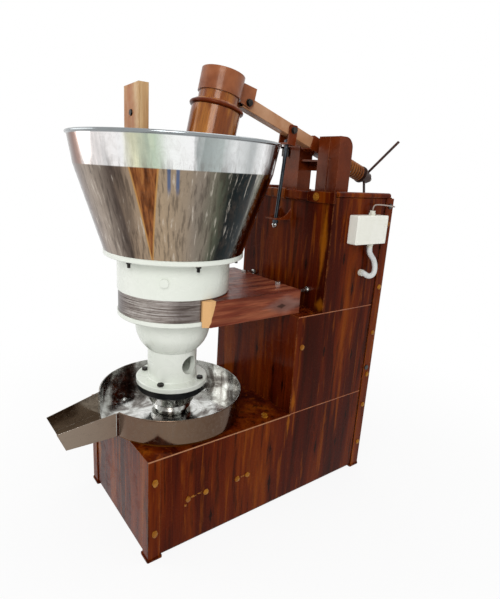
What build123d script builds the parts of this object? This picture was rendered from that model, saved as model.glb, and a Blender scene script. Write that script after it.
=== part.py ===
from build123d import *
from math import atan2, cos, hypot, pi, radians, sin
import os

os.makedirs("parts", exist_ok=True)

# A rotary oil mill: a turning mortar under a steel hopper, pressed by a leaning
# wooden pestle that a sprung pull arm holds. It stands on a stepped cabinet.
# Origin: centre of the cabinet's plan, at floor level. +Z is up, -Y is the spout end.

# Cabinet
base_width = 610.0
base_length = 1220.0
deck_height = 445.0
riser_y = 78.0
tower_front_y = 221.0
tower_rise = 509.0
sheet = 3.0
plate = 4.0
seam = 1.5
angle_leg = 50.0
angle_wall = 5.0
rear_gap = 6.0
panel_lift = 14.0
foot_size = 64.0
foot_thickness = 8.0
foot_corner = 6.0
frame_tube = 40.0
vent_length = 44.0
vent_height = 6.0
vent_pitch_x = 60.0
vent_pitch_z = 18.0
vent_columns = 4
vent_rows = 8
vents_z = 220.0

half_width = base_width / 2
half_length = base_length / 2
skin_x = half_width - angle_wall
skin_y = half_length - angle_wall
inner_x = skin_x - sheet
panel_rear_y = half_length - angle_leg - rear_gap
fit = 0.3
running = 0.1

# Mortar: radii, and heights that build up from the tray's wall
mortar_y = -358.0
lower_flange_radius = 152.0
lower_flange_thickness = 20.0
flange_edge = 3.0
neck_radius = 104.0
neck_fillet = 6.0
neck_height = 151.0
bowl_radius = 155.0
bowl_rise = 111.0
drum_radius = 226.0
drum_height = 266.0
lip_height = 20.0
lip_taper = 12.0
lip_edge = 4.0
lip_rise = 42.0
band_height = 88.0
band_thickness = 6.0
band_radius = 222.0
top_flange_radius = 278.0
top_flange_thickness = 20.0
top_flange_fillet = 8.0
liner_radius = 206.0
liner_step = 14.0
liner_seat_drop = 85.0
liner_rim = 12.0
pit_clearance = 13.0
pit_play = 14.0
pit_flare = 68.0
cavity_radius = 80.0
cavity_floor = 50.0
cavity_cover = 7.0
cavity_bevel = 8.0
outlet_radius = 40.0
outlet_drop = 59.0
outlet_angle = 18.0
drain_radius = 20.0
flange_bolt_ring_radius = 126.0
flange_bolt_start = -49.0
hopper_bolt_ring_radius = 252.0
hopper_bolt_start = -8.0
hopper_bolt_tail = 24.0
plug_angle = -36.6
plug_drop = 92.0
plug_radius = 17.0
plug_height = 7.0

# Drive coupling, shaft and tray
coupling_radius = 146.0
coupling_height = 36.0
coupling_edge = 8.0
collar_radius = 96.0
collar_lift = 18.0
collar_skirt_gap = 6.0
collar_foot = 22.0
collar_step = 8.0
collar_edge = 5.0
shaft_radius = 30.0
shaft_clearance = 12.0
bearing_radius = 56.0
bearing_height = 20.0
housing_height = 34.0
housing_flange = 92.0
housing_wall = 10.0
housing_shoulder = 8.0
tray_radius = 303.0
tray_stand = 17.0
tray_depth = 100.0
tray_bead = 3.0
tray_sheet = 2.0
tray_to_flange = 36.0
hub_radius = 62.0
hub_height = 60.0
support_radius = 288.0
support_width = 48.0
inner_support_width = 34.0
spout_x = 8.0
spout_root_half = 101.0
spout_tip_half = 72.0
spout_root_y = -652.0
spout_tip_y = -866.0
spout_tip_drop = 42.0
spout_tip_depth = 74.0
spout_lip_rake = 31.0
spout_reach_in = 60.0

# Hopper
hopper_bottom_radius = 276.0
hopper_knee_radius = 376.0
hopper_cone_height = 308.0
hopper_rim_radius = 394.0
hopper_band_height = 104.0
hopper_bead = 6.0
hopper_sheet = 2.0
hopper_flange_inner = 232.0

# Heights above the floor, from the deck up
tray_floor = deck_height + tray_stand
tray_top = tray_floor + tray_depth
hub_top = tray_floor + hub_height
collar_bottom = tray_floor + collar_lift
lower_flange_bottom = tray_top + tray_to_flange
coupling_bottom = lower_flange_bottom - coupling_height
neck_top = lower_flange_bottom + neck_height
bowl_centre_z = neck_top + bowl_rise
drum_bottom = bowl_centre_z + lip_rise
band_bottom = drum_bottom + lip_height
band_top = band_bottom + band_height
mortar_top = drum_bottom + drum_height
liner_step_z = drum_bottom + liner_step
cavity_bottom = lower_flange_bottom + cavity_floor
cavity_top = neck_top - cavity_cover
outlet_z = neck_top - outlet_drop
plug_z = mortar_top - plug_drop
hopper_knee_z = mortar_top + hopper_cone_height
hopper_rim_z = hopper_knee_z + hopper_band_height
spout_tip_top = tray_top - spout_tip_drop
spout_tip_floor = spout_tip_top - spout_tip_depth
shelf_drop = 1.0
shelf_height = drum_bottom - shelf_drop
tower_height = shelf_height + tower_rise

# Top trim of the tower
rail_diameter = 25.0
rail_lift = 2.5
rail_end_gap = 12.0
rail_tip = 2.0
bar_height = 42.0
bar_lift = 8.0
bar_depth = 22.0
bar_half_length = 160.0
bar_plate_depth = 10.0
bar_plate_overlap = 4.0
bar_bolt_x = 201.0
bar_strap_x = -13.0
bar_strap_width = 44.0
rail_x = half_width - rail_diameter / 2
rail_z = tower_height + rail_lift
top_plate_x = rail_x - rail_diameter / 2
upper_panel_top = rail_z - rail_diameter / 2 - fit

# Pestle: its lean towards the tower, and sizes along it from its toe
pestle_lean = 11.72
pestle_toe_sink = 64.0
pestle_toe_offset = 7.83
pestle_radius = 97.5
pestle_neck_radius = 80.0
pestle_shoulder = 912.0
pestle_shoulder_round = 10.0
pestle_end_bevel = 4.0
pestle_ring_drop = 16.0
pestle_ring_radius = 8.0
pestle_ring_proud = 2.5
head_collar_rise = 33.7
head_collar_height = 84.0
head_collar_wall = 6.0
pestle_top_drop = 7.7
lug_thickness = 8.0
lug_reach = 62.0
lug_root = 30.0
lug_top_drop = 10.0
lug_foot_drop = 8.0
lug_corner = 14.0
head_bolt_rise = 11.8
head_bolt_out = 123.6

pestle_toe_z = drum_bottom - pestle_toe_sink
pestle_toe_y = mortar_y - pestle_toe_offset
pestle_ring_at = pestle_shoulder - pestle_ring_drop
head_collar_at = pestle_shoulder + head_collar_rise
pestle_length = head_collar_at + head_collar_height - pestle_top_drop

# Pull arm, trunnion, spring and screw, as distances along the arm from the trunnion
arm_size = 50.0
arm_wall = 4.0
arm_corner = 3.0
arm_nose = 18.0
arm_back = 46.0
arm_plug = 20.0
trunnion_y = 380.0
trunnion_rise = 202.1
hanger_at = -187.0
sleeve_clearance = 1.5
sleeve_wall = 5.0
sleeve_front = -58.0
sleeve_back = 75.0
seat_thickness = 8.0
seat_radius = 46.0
pin_radius = 12.5
pin_reach = 84.0
pin_ring_width = 6.0
screw_radius = 14.0
screw_tail = 26.1
screw_bevel = 3.0
spring_radius = 34.0
spring_wire = 5.5
spring_length = 270.0
spring_turns = 14
washer_thickness = 8.0
washer_radius = 42.0
nut_radius = 28.0
nut_length = 50.0
spoke_radius = 6.5
spoke_reach = 235.0
spoke_sink = 4.0
spoke_angles = (-52.0, 68.0, 188.0)
arm_bolt_radius = 8.0
arm_bolt_head = 13.0
arm_bolt_washer = 2.5
arm_bolt_nut = 9.5
trunnion_z = tower_height + trunnion_rise

# Ears that carry the trunnion
ear_inner = 62.0
ear_seam = 127.0
ear_outer = 187.0
ear_front = 340.0
ear_back = 423.0
ear_foot_reach = 12.0
ear_plate = 8.0
ear_side = 6.0
ear_crown = 42.9
ear_corner = 48.0
ear_strip_relief = 3.0
ear_hole_radius = 4.0
ear_hole_drop = 95.0
ear_hole_inset = 7.0
ear_bolt_inset_x = 34.0
ear_bolt_inset_y = 20.0
ear_tie_gap = 13.3
ear_tie_height = 9.0
ear_tie_inset = 8.0
ear_tie_web = 10.0
ear_tie_drop = 44.0
ear_top = trunnion_z + ear_crown

# Hanging rod and its bracket
rod_radius = 8.0
rod_foot_y = 166.0
rod_foot_drop = 127.0
rod_hole_clearance = 3.5
rod_nut_gap = 5.0
rod_tail = 28.0
rod_nut = 13.0
hanger_plate = 8.0
hanger_width = 44.0
hanger_drop = 62.0
hanger_corner = 8.0
rod_bracket_width = 80.0
rod_bracket_plate = 6.0
rod_bracket_reach = 85.0
gusset_height = 52.0
gusset_thickness = 6.0
rod_foot_z = tower_height - rod_foot_drop

# Brace block, its bolts and stays
brace_half_width = 250.0
brace_back = 125.0
brace_band_cover = 5.0
brace_horn_slope = 28.0
brace_lip_gap = 4.0
brace_bolt_x = 130.0
brace_bolt_y = 98.0
brace_nut = 12.0
bolt_tail = 2.0
stay_inset = 105.0
stay_rise = 84.0
stay_radius = 8.0
stay_tail = 20.0
brace_top = band_top - brace_band_cover
stay_z = shelf_height + stay_rise
stay_x = half_width - stay_inset

# Scraper board and its bar
board_x = -187.0
board_width = 140.0
board_front = -460.0
board_thickness = 42.0
board_lift = 48.0
board_rise = 208.0
board_bolt_rise = 100.0
board_bevel = 70.0
board_top_slope = 6.0
board_bolt_dome = 5.0
scraper_bar_width = 50.0
scraper_bar_thickness = 8.0
scraper_bar_rise = 22.0
scraper_tab_drop = 44.0
scraper_tab_rise = 100.0
board_bottom = mortar_top + board_lift
board_top = hopper_rim_z + board_rise
board_bolt_z = hopper_rim_z + board_bolt_rise
scraper_bar_z = hopper_rim_z + scraper_bar_rise

# Gearbox, motor and belts
gearbox_x = 120.0
gearbox_front = -478.0
gearbox_back = -178.0
gearbox_drop = 61.0
gearbox_height = 144.0
gearbox_wall = 12.0
worm_distance = 110.0
wheel_radius = 82.0
wheel_width = 36.0
wheel_teeth = 40
tooth_depth = 4.5
tooth_gap = 5.74
worm_radius = 27.0
worm_length = 96.0
worm_groove = 6.0
input_radius = 15.0
bearing_outer = 27.0
input_start = -118.0
shaft_tip = 4.0
pulley_x = 188.0
pulley_width = 46.0
large_pulley_radius = 64.0
small_pulley_radius = 32.0
belt_spacing = 20.0
belt_width = 13.0
belt_depth = 9.0
motor_y = 330.0
motor_drop = 12.0
motor_radius = 84.0
motor_start = -165.0
motor_end = 110.0
motor_bell = 50.0
motor_rib_end = 30.0
motor_ribs = 32
motor_rib = 3.0
motor_rib_height = 6.0
motor_shaft_radius = 14.0
motor_shaft_sink = 20.0
motor_foot_half = 110.0
motor_foot_length = 170.0
motor_foot_plate = 14.0
motor_saddle_length = 150.0
motor_saddle_width = 60.0
terminal_box_size = 90.0
terminal_box_height = 44.0
terminal_box_rise = 10.0
beam_height = 50.0
front_beam_y = -394.0
front_beam_width = 112.0
rear_beam_y = -168.0
rear_beam_width = 84.0
gearbox_beams = [(front_beam_y, front_beam_width), (rear_beam_y, rear_beam_width)]
motor_beams = [(236.0, 50.0), (424.0, 50.0)]
gearbox_top = deck_height - gearbox_drop
gearbox_bottom = gearbox_top - gearbox_height
gear_z = gearbox_bottom + gearbox_height / 2
worm_y = mortar_y + worm_distance
motor_z = gear_z - motor_drop

# Isolator box, glands, conduit and the knob on the rear post
box_y = 430.0
box_drop = 143.0
box_width = 205.0
box_height = 125.0
box_depth = 38.0
box_corner = 6.0
lid_depth = 9.0
lid_round = 3.0
lid_screw_inset = 13.0
lid_screw_radius = 5.0
lid_screw_height = 2.0
gland_radius = 12.0
gland_flats = 3.0
gland_length = 20.0
panel_gland_depth = 16.0
grommet_depth = 6.0
conduit_radius = 12.0
conduit_start_y = 458.0
conduit_end_y = 440.0
conduit_drop = 199.0
wire_radius = 3.0
wire_start_y = 446.0
wire_end_y = 585.0
wire_end_drop = 43.0
knob_y = 573.0
knob_rise = 125.0
box_z = tower_height - box_drop
conduit_end_z = box_z - conduit_drop
wire_end_z = tower_height - wire_end_drop
knob_z = deck_height + knob_rise

# Bolts in the cabinet, as (y, z) places on each side
bolt_head_radius = 8.5
bolt_head_height = 6.0
bolt_shank_radius = 4.0
bar_washer_height = 2.5
front_bolt_y = -half_length + 28
rear_bolt_y = half_length - 20
lower_face = deck_height - panel_lift
middle_face = shelf_height - deck_height
upper_face = tower_height - shelf_height
beam_bolt_z = gearbox_bottom - beam_height / 2
front_beam_bolt = 42.0
rear_beam_bolt = 27.0
beam_bolts = [(front_beam_y + way * front_beam_bolt, beam_bolt_z) for way in (-1, 1)]
beam_bolts += [(rear_beam_y + way * rear_beam_bolt, beam_bolt_z) for way in (-1, 1)]
middle_bolts = [(riser_y + 38, deck_height + 0.686 * middle_face)]
front_post_bolts = [(front_bolt_y, panel_lift + 0.777 * lower_face),
                    (front_bolt_y, panel_lift + 0.246 * lower_face)]
rear_post_bolts = [(rear_bolt_y, panel_lift + share * lower_face) for share in (0.292, 0.798)]
rear_post_bolts += [(rear_bolt_y, deck_height + share * middle_face) for share in (0.182, 0.673)]
rear_post_bolts += [(rear_bolt_y, shelf_height + share * upper_face) for share in (0.165, 0.756)]

# Working planes and axes
mortar_profile = Plane.XZ.offset(-mortar_y)
mortar_axis = Axis((0, mortar_y, 0), (0, 0, 1))
lean = radians(pestle_lean)
pestle_base = Plane(
    origin=(0, pestle_toe_y, pestle_toe_z), x_dir=(1, 0, 0), z_dir=(0, sin(lean), cos(lean))
)
pestle_profile = Plane(origin=pestle_base.origin, x_dir=(1, 0, 0), z_dir=-pestle_base.y_dir)
pestle_axis = Axis(pestle_base.origin, pestle_base.z_dir)
head_bolt = (
    pestle_base.origin
    + pestle_base.z_dir * (head_collar_at + head_bolt_rise)
    + pestle_base.y_dir * head_bolt_out
)
slope = atan2(head_bolt.Z - trunnion_z, trunnion_y - head_bolt.Y)
ear_tie_run = ear_back - ear_tie_inset - trunnion_y
sleeve_half = arm_size / 2 + sleeve_clearance + sleeve_wall
sleeve_under = trunnion_z - (sleeve_half + ear_tie_run * sin(slope)) / cos(slope)
ear_tie_z = sleeve_under - ear_tie_gap - ear_tie_height / 2
head_bolt_at = -hypot(head_bolt.Z - trunnion_z, trunnion_y - head_bolt.Y)
arm_front = head_bolt_at - arm_nose
arm_base = Plane(
    origin=(0, trunnion_y, trunnion_z), x_dir=(1, 0, 0), z_dir=(0, cos(slope), -sin(slope))
)


def arm_point(distance):
    """Y and Z of the point on the arm's axis at a distance behind the trunnion pin."""
    return trunnion_y + distance * cos(slope), trunnion_z - distance * sin(slope)


hanger_y, hanger_z = arm_point(hanger_at)
rod_run = hypot(hanger_y - rod_foot_y, hanger_z - rod_foot_z)
hanger_base = Plane(
    origin=(0, hanger_y, hanger_z),
    x_dir=(1, 0, 0),
    z_dir=(0, rod_foot_y - hanger_y, rod_foot_z - hanger_z),
)
sides = {"left": -1, "right": 1}


def side_panels(outline, holes, right_holes=()):
    """Left and right side sheets with the same outline in Y and Z and the same holes,
    and with holes of the right sheet alone."""
    with BuildPart() as panels:
        for side in sides.values():
            drilled = [*holes, *right_holes] if side > 0 else holes
            with BuildSketch(Plane.YZ.offset(side * (skin_x - sheet / 2))):
                with BuildLine():
                    Polyline(*outline, close=True)
                make_face()
                if drilled:
                    with Locations(*drilled):
                        Circle(bolt_shank_radius + running, mode=Mode.SUBTRACT)
            extrude(amount=sheet / 2, both=True)
    return panels.part


# Lower side panels, each one sheet from the front corner to the rear post
lower_outline = [
    (-skin_y, panel_lift),
    (panel_rear_y, panel_lift),
    (panel_rear_y, deck_height - plate),
    (-skin_y, deck_height - plate),
]
lower_sides = side_panels(lower_outline, beam_bolts)
lower_sides.label = "lower_sides"
export_step(lower_sides, "parts/lower_sides.step")

# Middle side panels, between the riser and the rear posts
middle_outline = [
    (riser_y, deck_height),
    (riser_y + sheet + fit, deck_height),
    (riser_y + sheet + fit, deck_height - plate + seam),
    (panel_rear_y, deck_height - plate + seam),
    (panel_rear_y, shelf_height - plate),
    (riser_y, shelf_height - plate),
]
middle_sides = side_panels(middle_outline, middle_bolts)
middle_sides.label = "middle_sides"
export_step(middle_sides, "parts/middle_sides.step")

# Upper side panels, the right one drilled for the isolator box's back bolts
upper_outline = [
    (tower_front_y, shelf_height),
    (tower_front_y + sheet + fit, shelf_height),
    (tower_front_y + sheet + fit, shelf_height - plate + seam),
    (panel_rear_y, shelf_height - plate + seam),
    (panel_rear_y, upper_panel_top),
    (tower_front_y, upper_panel_top),
]
box_bolts = [(box_y - box_width / 4, box_z), (box_y + box_width / 4, box_z)]
upper_sides = side_panels(upper_outline, [], box_bolts)
upper_sides.label = "upper_sides"
export_step(upper_sides, "parts/upper_sides.step")

# Front panel under the spout
with BuildPart() as front_panel:
    with BuildSketch(Plane.XZ.offset(skin_y - sheet)):
        with Locations((0, (panel_lift + deck_height - plate) / 2)):
            Rectangle(2 * inner_x, deck_height - plate - panel_lift)
    extrude(amount=sheet)
front_panel.part.label = "front_panel"
export_step(front_panel.part, "parts/front_panel.step")

# Deck plate with the hole for the drive shaft
with BuildPart() as deck_plate:
    with BuildSketch(Plane.XY.offset(deck_height - plate)):
        with Locations((0, (riser_y + sheet - half_length) / 2)):
            Rectangle(base_width, riser_y + sheet + half_length)
        with Locations((0, mortar_y)):
            Circle(shaft_radius + shaft_clearance, mode=Mode.SUBTRACT)
    extrude(amount=plate)
deck_plate.part.label = "deck_plate"
export_step(deck_plate.part, "parts/deck_plate.step")

# Riser between the deck and the shelf
with BuildPart() as riser_panel:
    with BuildSketch(Plane.XZ.offset(-riser_y - sheet)):
        with Locations((0, (deck_height + shelf_height - plate) / 2)):
            Rectangle(2 * inner_x, shelf_height - plate - deck_height)
    extrude(amount=sheet)
riser_panel.part.label = "riser_panel"
export_step(riser_panel.part, "parts/riser_panel.step")

# Shelf plate that the brace block lies on
with BuildPart() as shelf_plate:
    with BuildSketch(Plane.XY.offset(shelf_height - plate)):
        with Locations((0, (riser_y + tower_front_y + sheet) / 2)):
            Rectangle(2 * skin_x, tower_front_y + sheet - riser_y)
        with Locations((-brace_bolt_x, brace_bolt_y), (brace_bolt_x, brace_bolt_y)):
            Circle(stay_radius + fit, mode=Mode.SUBTRACT)
    extrude(amount=plate)
shelf_plate.part.label = "shelf_plate"
export_step(shelf_plate.part, "parts/shelf_plate.step")

# Front sheet of the tower, drilled for the two brace stays
with BuildPart() as tower_front:
    with BuildSketch(Plane.XZ.offset(-tower_front_y - sheet)):
        with Locations((0, (shelf_height + tower_height - plate) / 2)):
            Rectangle(2 * inner_x, tower_height - plate - shelf_height)
        with Locations((-stay_x, stay_z), (stay_x, stay_z)):
            Circle(stay_radius + fit, mode=Mode.SUBTRACT)
    extrude(amount=sheet)
tower_front.part.label = "tower_front_panel"
export_step(tower_front.part, "parts/tower_front_panel.step")

# Top sheet of the tower, between the two edge rails
with BuildPart() as tower_top:
    with BuildSketch(Plane.XY.offset(tower_height - plate)):
        with Locations((0, (tower_front_y + skin_y) / 2)):
            Rectangle(2 * top_plate_x - 2 * fit, skin_y - tower_front_y)
    extrude(amount=plate)
tower_top.part.label = "tower_top_plate"
export_step(tower_top.part, "parts/tower_top_plate.step")

# Rear sheet, the full height of the tower
with BuildPart() as rear_panel:
    with BuildSketch(Plane.XZ.offset(-skin_y)):
        with Locations((0, (panel_lift + tower_height - plate) / 2)):
            Rectangle(2 * inner_x, tower_height - plate - panel_lift)
        with GridLocations(vent_pitch_x, vent_pitch_z, vent_columns, vent_rows):
            with Locations((0, vents_z)):
                SlotOverall(vent_length, vent_height, mode=Mode.SUBTRACT)
    extrude(amount=sheet)
rear_panel.part.label = "rear_panel"
export_step(rear_panel.part, "parts/rear_panel.step")


def corner_angle(top, end, post_bolts):
    """Left and right steel angles at one end of the cabinet, drilled for their bolts."""
    with BuildPart() as posts:
        for side in sides.values():
            corner_x = side * half_width
            corner_y = end * half_length
            inner_corner_x = corner_x - side * angle_wall
            inner_corner_y = corner_y - end * angle_wall
            with BuildSketch(Plane.XY.offset(foot_thickness)):
                with BuildLine():
                    Polyline(
                        (corner_x, corner_y),
                        (corner_x - side * angle_leg, corner_y),
                        (corner_x - side * angle_leg, inner_corner_y),
                        (inner_corner_x, inner_corner_y),
                        (inner_corner_x, corner_y - end * angle_leg),
                        (corner_x, corner_y - end * angle_leg),
                        close=True,
                    )
                make_face()
            extrude(amount=top - foot_thickness)
        with BuildSketch(Plane.YZ):
            with Locations(*post_bolts):
                Circle(bolt_shank_radius + running)
        extrude(amount=half_width, both=True, mode=Mode.SUBTRACT)
    return posts.part


front_posts = corner_angle(deck_height - plate, -1, front_post_bolts)
front_posts.label = "front_posts"
export_step(front_posts, "parts/front_posts.step")

rear_posts = corner_angle(tower_height - 2 * plate, 1, rear_post_bolts)
rear_posts.label = "rear_posts"
export_step(rear_posts, "parts/rear_posts.step")

# Foot pads under the four corners and the middle of the frame
foot_x = half_width - foot_size / 2 + foot_thickness / 2
foot_y = half_length - foot_size / 2 + foot_thickness / 2
with BuildPart() as foot_pads:
    with BuildSketch():
        with GridLocations(2 * foot_x, 2 * foot_y, 2, 2):
            RectangleRounded(foot_size, foot_size, foot_corner)
        RectangleRounded(foot_size, foot_size, foot_corner)
    extrude(amount=foot_thickness)
foot_pads.part.label = "foot_pads"
export_step(foot_pads.part, "parts/foot_pads.step")

# Inner frame: rails, uprights and the beams under the gearbox, motor and ears
rail_centre_x = inner_x - frame_tube / 2
cross_length = 2 * (inner_x - frame_tube)
side_rail_length = 2 * (skin_y - sheet)
upright_ys = (riser_y + sheet + frame_tube / 2, tower_front_y + sheet + frame_tube / 2)
rear_upright_y = skin_y - sheet - frame_tube / 2
front_rail_y = -skin_y + sheet + frame_tube / 2
shelf_rail_z = shelf_height - plate - frame_tube / 2
top_rail_z = tower_height - plate - frame_tube / 2
edge_rail_z = upper_panel_top - frame_tube / 2
deck_rail_z = deck_height - plate - frame_tube / 2
low_rail_z = foot_thickness + frame_tube / 2
ear_beam_y = (ear_front + ear_back) / 2
with BuildPart() as inner_frame:
    for side in sides.values():
        side_x = side * rail_centre_x
        with Locations((side_x, 0, low_rail_z), (side_x, 0, deck_rail_z)):
            Box(frame_tube, side_rail_length, frame_tube)
        shelf_length = rear_upright_y - riser_y - sheet + frame_tube / 2
        with Locations((side_x, riser_y + sheet + shelf_length / 2, shelf_rail_z)):
            Box(frame_tube, shelf_length, frame_tube)
        top_length = rear_upright_y - tower_front_y - sheet + frame_tube / 2
        with Locations((side_x, tower_front_y + sheet + top_length / 2, edge_rail_z)):
            Box(frame_tube, top_length, frame_tube)
        for post_y, foot_z, head_z in (
            (front_rail_y, low_rail_z, deck_rail_z),
            (upright_ys[0], low_rail_z, shelf_rail_z),
            (upright_ys[1], deck_rail_z, edge_rail_z),
            (rear_upright_y, low_rail_z, edge_rail_z),
        ):
            with Locations((side_x, post_y, (foot_z + head_z) / 2)):
                Box(frame_tube, frame_tube, head_z - foot_z)
    for cross_y, cross_z in (
        (front_rail_y, low_rail_z),
        (0, low_rail_z),
        (rear_upright_y, low_rail_z),
        (front_rail_y, deck_rail_z),
        (upright_ys[0], deck_rail_z),
        (upright_ys[0], shelf_rail_z),
        (upright_ys[1], shelf_rail_z),
        (upright_ys[1], top_rail_z),
        (ear_beam_y, top_rail_z),
        (rear_upright_y, shelf_rail_z),
        (rear_upright_y, top_rail_z),
    ):
        with Locations((0, cross_y, cross_z)):
            Box(cross_length, frame_tube, frame_tube)
    for beam_y, beam_width in gearbox_beams:
        with Locations((0, beam_y, gearbox_bottom - beam_height / 2)):
            Box(2 * inner_x, beam_width, beam_height)
    motor_foot_z = motor_z - motor_radius - motor_foot_plate
    for beam_y, beam_width in motor_beams:
        with Locations((0, beam_y, (motor_foot_z + foot_thickness) / 2)):
            Box(2 * (inner_x - frame_tube), beam_width, motor_foot_z - foot_thickness)
    with BuildSketch(Plane.XY.offset(shelf_rail_z - frame_tube)):
        with Locations((-brace_bolt_x, brace_bolt_y), (brace_bolt_x, brace_bolt_y)):
            Circle(stay_radius + fit)
    extrude(amount=2 * frame_tube, mode=Mode.SUBTRACT)
inner_frame.part.label = "inner_frame"
export_step(inner_frame.part, "parts/inner_frame.step")

# Tower trim: rounded rails along both top edges, and the bar across the front edge
# with its two end plates and its strap
rail_length = skin_y - tower_front_y - 2 * rail_end_gap
bar_z = tower_height + bar_lift - bar_height / 2
end_plate_width = half_width - bar_half_length - fit
end_plate_x = bar_half_length + fit + end_plate_width / 2
with BuildPart() as tower_trim:
    for side in sides.values():
        with BuildSketch(Plane.XZ.offset(-tower_front_y - rail_end_gap)):
            with Locations((side * rail_x, rail_z)):
                Circle(rail_diameter / 2)
        extrude(amount=-rail_length)
    fillet(tower_trim.edges().filter_by(GeomType.CIRCLE), radius=rail_diameter / 2 - rail_tip)
    with BuildSketch(Plane.YZ.offset(-bar_half_length)):
        with Locations((tower_front_y - bar_depth / 2, bar_z)):
            RectangleRounded(bar_depth, bar_height, bar_depth / 2 - 1)
    extrude(amount=2 * bar_half_length)
    with BuildSketch(Plane.XZ.offset(-tower_front_y)):
        with Locations((-end_plate_x, bar_z), (end_plate_x, bar_z)):
            RectangleRounded(end_plate_width, bar_height + bar_plate_overlap, sheet)
        with Locations((-bar_bolt_x, bar_z), (bar_bolt_x, bar_z)):
            Circle(bolt_shank_radius + running, mode=Mode.SUBTRACT)
    extrude(amount=bar_plate_depth)
    with BuildSketch(Plane.YZ.offset(bar_strap_x - bar_strap_width / 2)):
        with Locations((tower_front_y - (bar_depth + plate) / 2, bar_z)):
            RectangleRounded(bar_depth + plate, bar_height + 2 * plate, bar_depth / 2)
    extrude(amount=bar_strap_width)
tower_trim.part.label = "tower_trim"
export_step(tower_trim.part, "parts/tower_trim.step")

# Bolts of the side panels, posts, bar plates and ears
with BuildPart() as frame_bolts:
    for side in sides.values():
        for seat, grip, places in (
            (skin_x, sheet, beam_bolts + middle_bolts),
            (half_width, angle_wall, front_post_bolts + rear_post_bolts),
        ):
            for bolt_y, bolt_z in places:
                outward = Plane(origin=(side * seat, bolt_y, bolt_z), z_dir=(side, 0, 0))
                with BuildSketch(outward):
                    RegularPolygon(bolt_head_radius, 6)
                extrude(amount=bolt_head_height)
                with BuildSketch(outward):
                    Circle(bolt_shank_radius)
                extrude(amount=-grip)
    for side in sides.values():
        bar_face = Plane(origin=(side * bar_bolt_x, tower_front_y - bar_plate_depth, bar_z),
                         z_dir=(0, -1, 0))
        with BuildSketch(bar_face):
            Circle(2 * bolt_head_radius)
        extrude(amount=bar_washer_height)
        with BuildSketch(bar_face.offset(bar_washer_height)):
            RegularPolygon(1.3 * bolt_head_radius, 6)
        extrude(amount=bolt_head_height)
        with BuildSketch(bar_face):
            Circle(bolt_shank_radius)
        extrude(amount=-bar_plate_depth)
        for ear_bolt_x in (ear_inner + ear_bolt_inset_x, ear_outer - ear_bolt_inset_x):
            with BuildSketch(Plane.XY.offset(tower_height + ear_plate)):
                with Locations((side * ear_bolt_x, ear_back - ear_bolt_inset_y)):
                    RegularPolygon(bolt_head_radius, 6)
            extrude(amount=bolt_head_height)
    for bolt_y, bolt_z in box_bolts:
        box_floor = Plane(origin=(skin_x + sheet, bolt_y, bolt_z), z_dir=(1, 0, 0))
        with BuildSketch(box_floor):
            RegularPolygon(bolt_head_radius, 6)
        extrude(amount=bolt_head_height)
        with BuildSketch(box_floor):
            Circle(bolt_shank_radius)
        extrude(amount=-2 * sheet)
frame_bolts.part.label = "frame_bolts"
export_step(frame_bolts.part, "parts/frame_bolts.step")

# Ears on the tower top: inner bearing plate, front plate and rounded side plate
for name, side in sides.items():
    ear_middle_y = (ear_front + ear_back) / 2
    ear_depth = ear_back - ear_front
    with BuildPart() as ear:
        with BuildSketch(Plane.XY.offset(tower_height)):
            with Locations((side * (ear_inner + ear_outer) / 2, ear_middle_y + ear_foot_reach / 2)):
                Rectangle(ear_outer - ear_inner, ear_depth + ear_foot_reach)
        extrude(amount=ear_plate)
        with BuildSketch(Plane.YZ.offset(side * ear_inner)):
            with BuildLine():
                Polyline(
                    (ear_front, tower_height),
                    (ear_back, tower_height),
                    (ear_back, ear_top - ear_corner),
                )
                RadiusArc((ear_back, ear_top - ear_corner), (ear_back - ear_corner, ear_top),
                          -ear_corner)
                Polyline(
                    (ear_back - ear_corner, ear_top),
                    (ear_front, ear_top),
                    (ear_front, tower_height),
                )
            make_face()
            with Locations((trunnion_y, trunnion_z)):
                Circle(pin_radius + running, mode=Mode.SUBTRACT)
        extrude(amount=side * ear_plate)
        with BuildSketch(Plane.YZ.offset(side * (ear_outer - ear_side))):
            with BuildLine():
                Polyline(
                    (ear_front, tower_height),
                    (ear_back, tower_height),
                    (ear_back, ear_top - ear_corner),
                )
                RadiusArc((ear_back, ear_top - ear_corner), (ear_back - ear_corner, ear_top),
                          -ear_corner)
                Polyline(
                    (ear_back - ear_corner, ear_top),
                    (ear_front, ear_top),
                    (ear_front, tower_height),
                )
            make_face()
        extrude(amount=side * ear_side)
        with BuildSketch(Plane.XZ.offset(-ear_front - ear_side)):
            with Locations((side * (ear_inner + ear_outer) / 2, (tower_height + ear_top) / 2)):
                Rectangle(ear_outer - ear_inner, ear_top - tower_height)
            with Locations((side * (ear_seam + ear_hole_inset), ear_top - ear_hole_drop)):
                Circle(ear_hole_radius, mode=Mode.SUBTRACT)
        extrude(amount=ear_side)
        with BuildSketch(Plane.XZ.offset(-ear_front)):
            with Locations((side * (ear_inner + ear_seam) / 2, (tower_height + ear_top) / 2)):
                Rectangle(ear_seam - ear_inner, ear_top - tower_height)
        extrude(amount=ear_strip_relief)
    ear.part.label = f"ear_{name}"
    export_step(ear.part, f"parts/ear_{name}.step")

# Cross tie that holds the two ears apart
with BuildPart() as ear_tie:
    with Locations((0, (ear_front + ear_back) / 2, ear_tie_z)):
        Box(2 * ear_inner, ear_back - ear_front - 2 * ear_tie_inset, ear_tie_height)
    with Locations((0, ear_back - ear_tie_inset - ear_tie_web / 2, ear_tie_z - ear_tie_drop / 2)):
        Box(2 * ear_inner, ear_tie_web, ear_tie_drop)
ear_tie.part.label = "ear_tie"
export_step(ear_tie.part, "parts/ear_tie.step")

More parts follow.
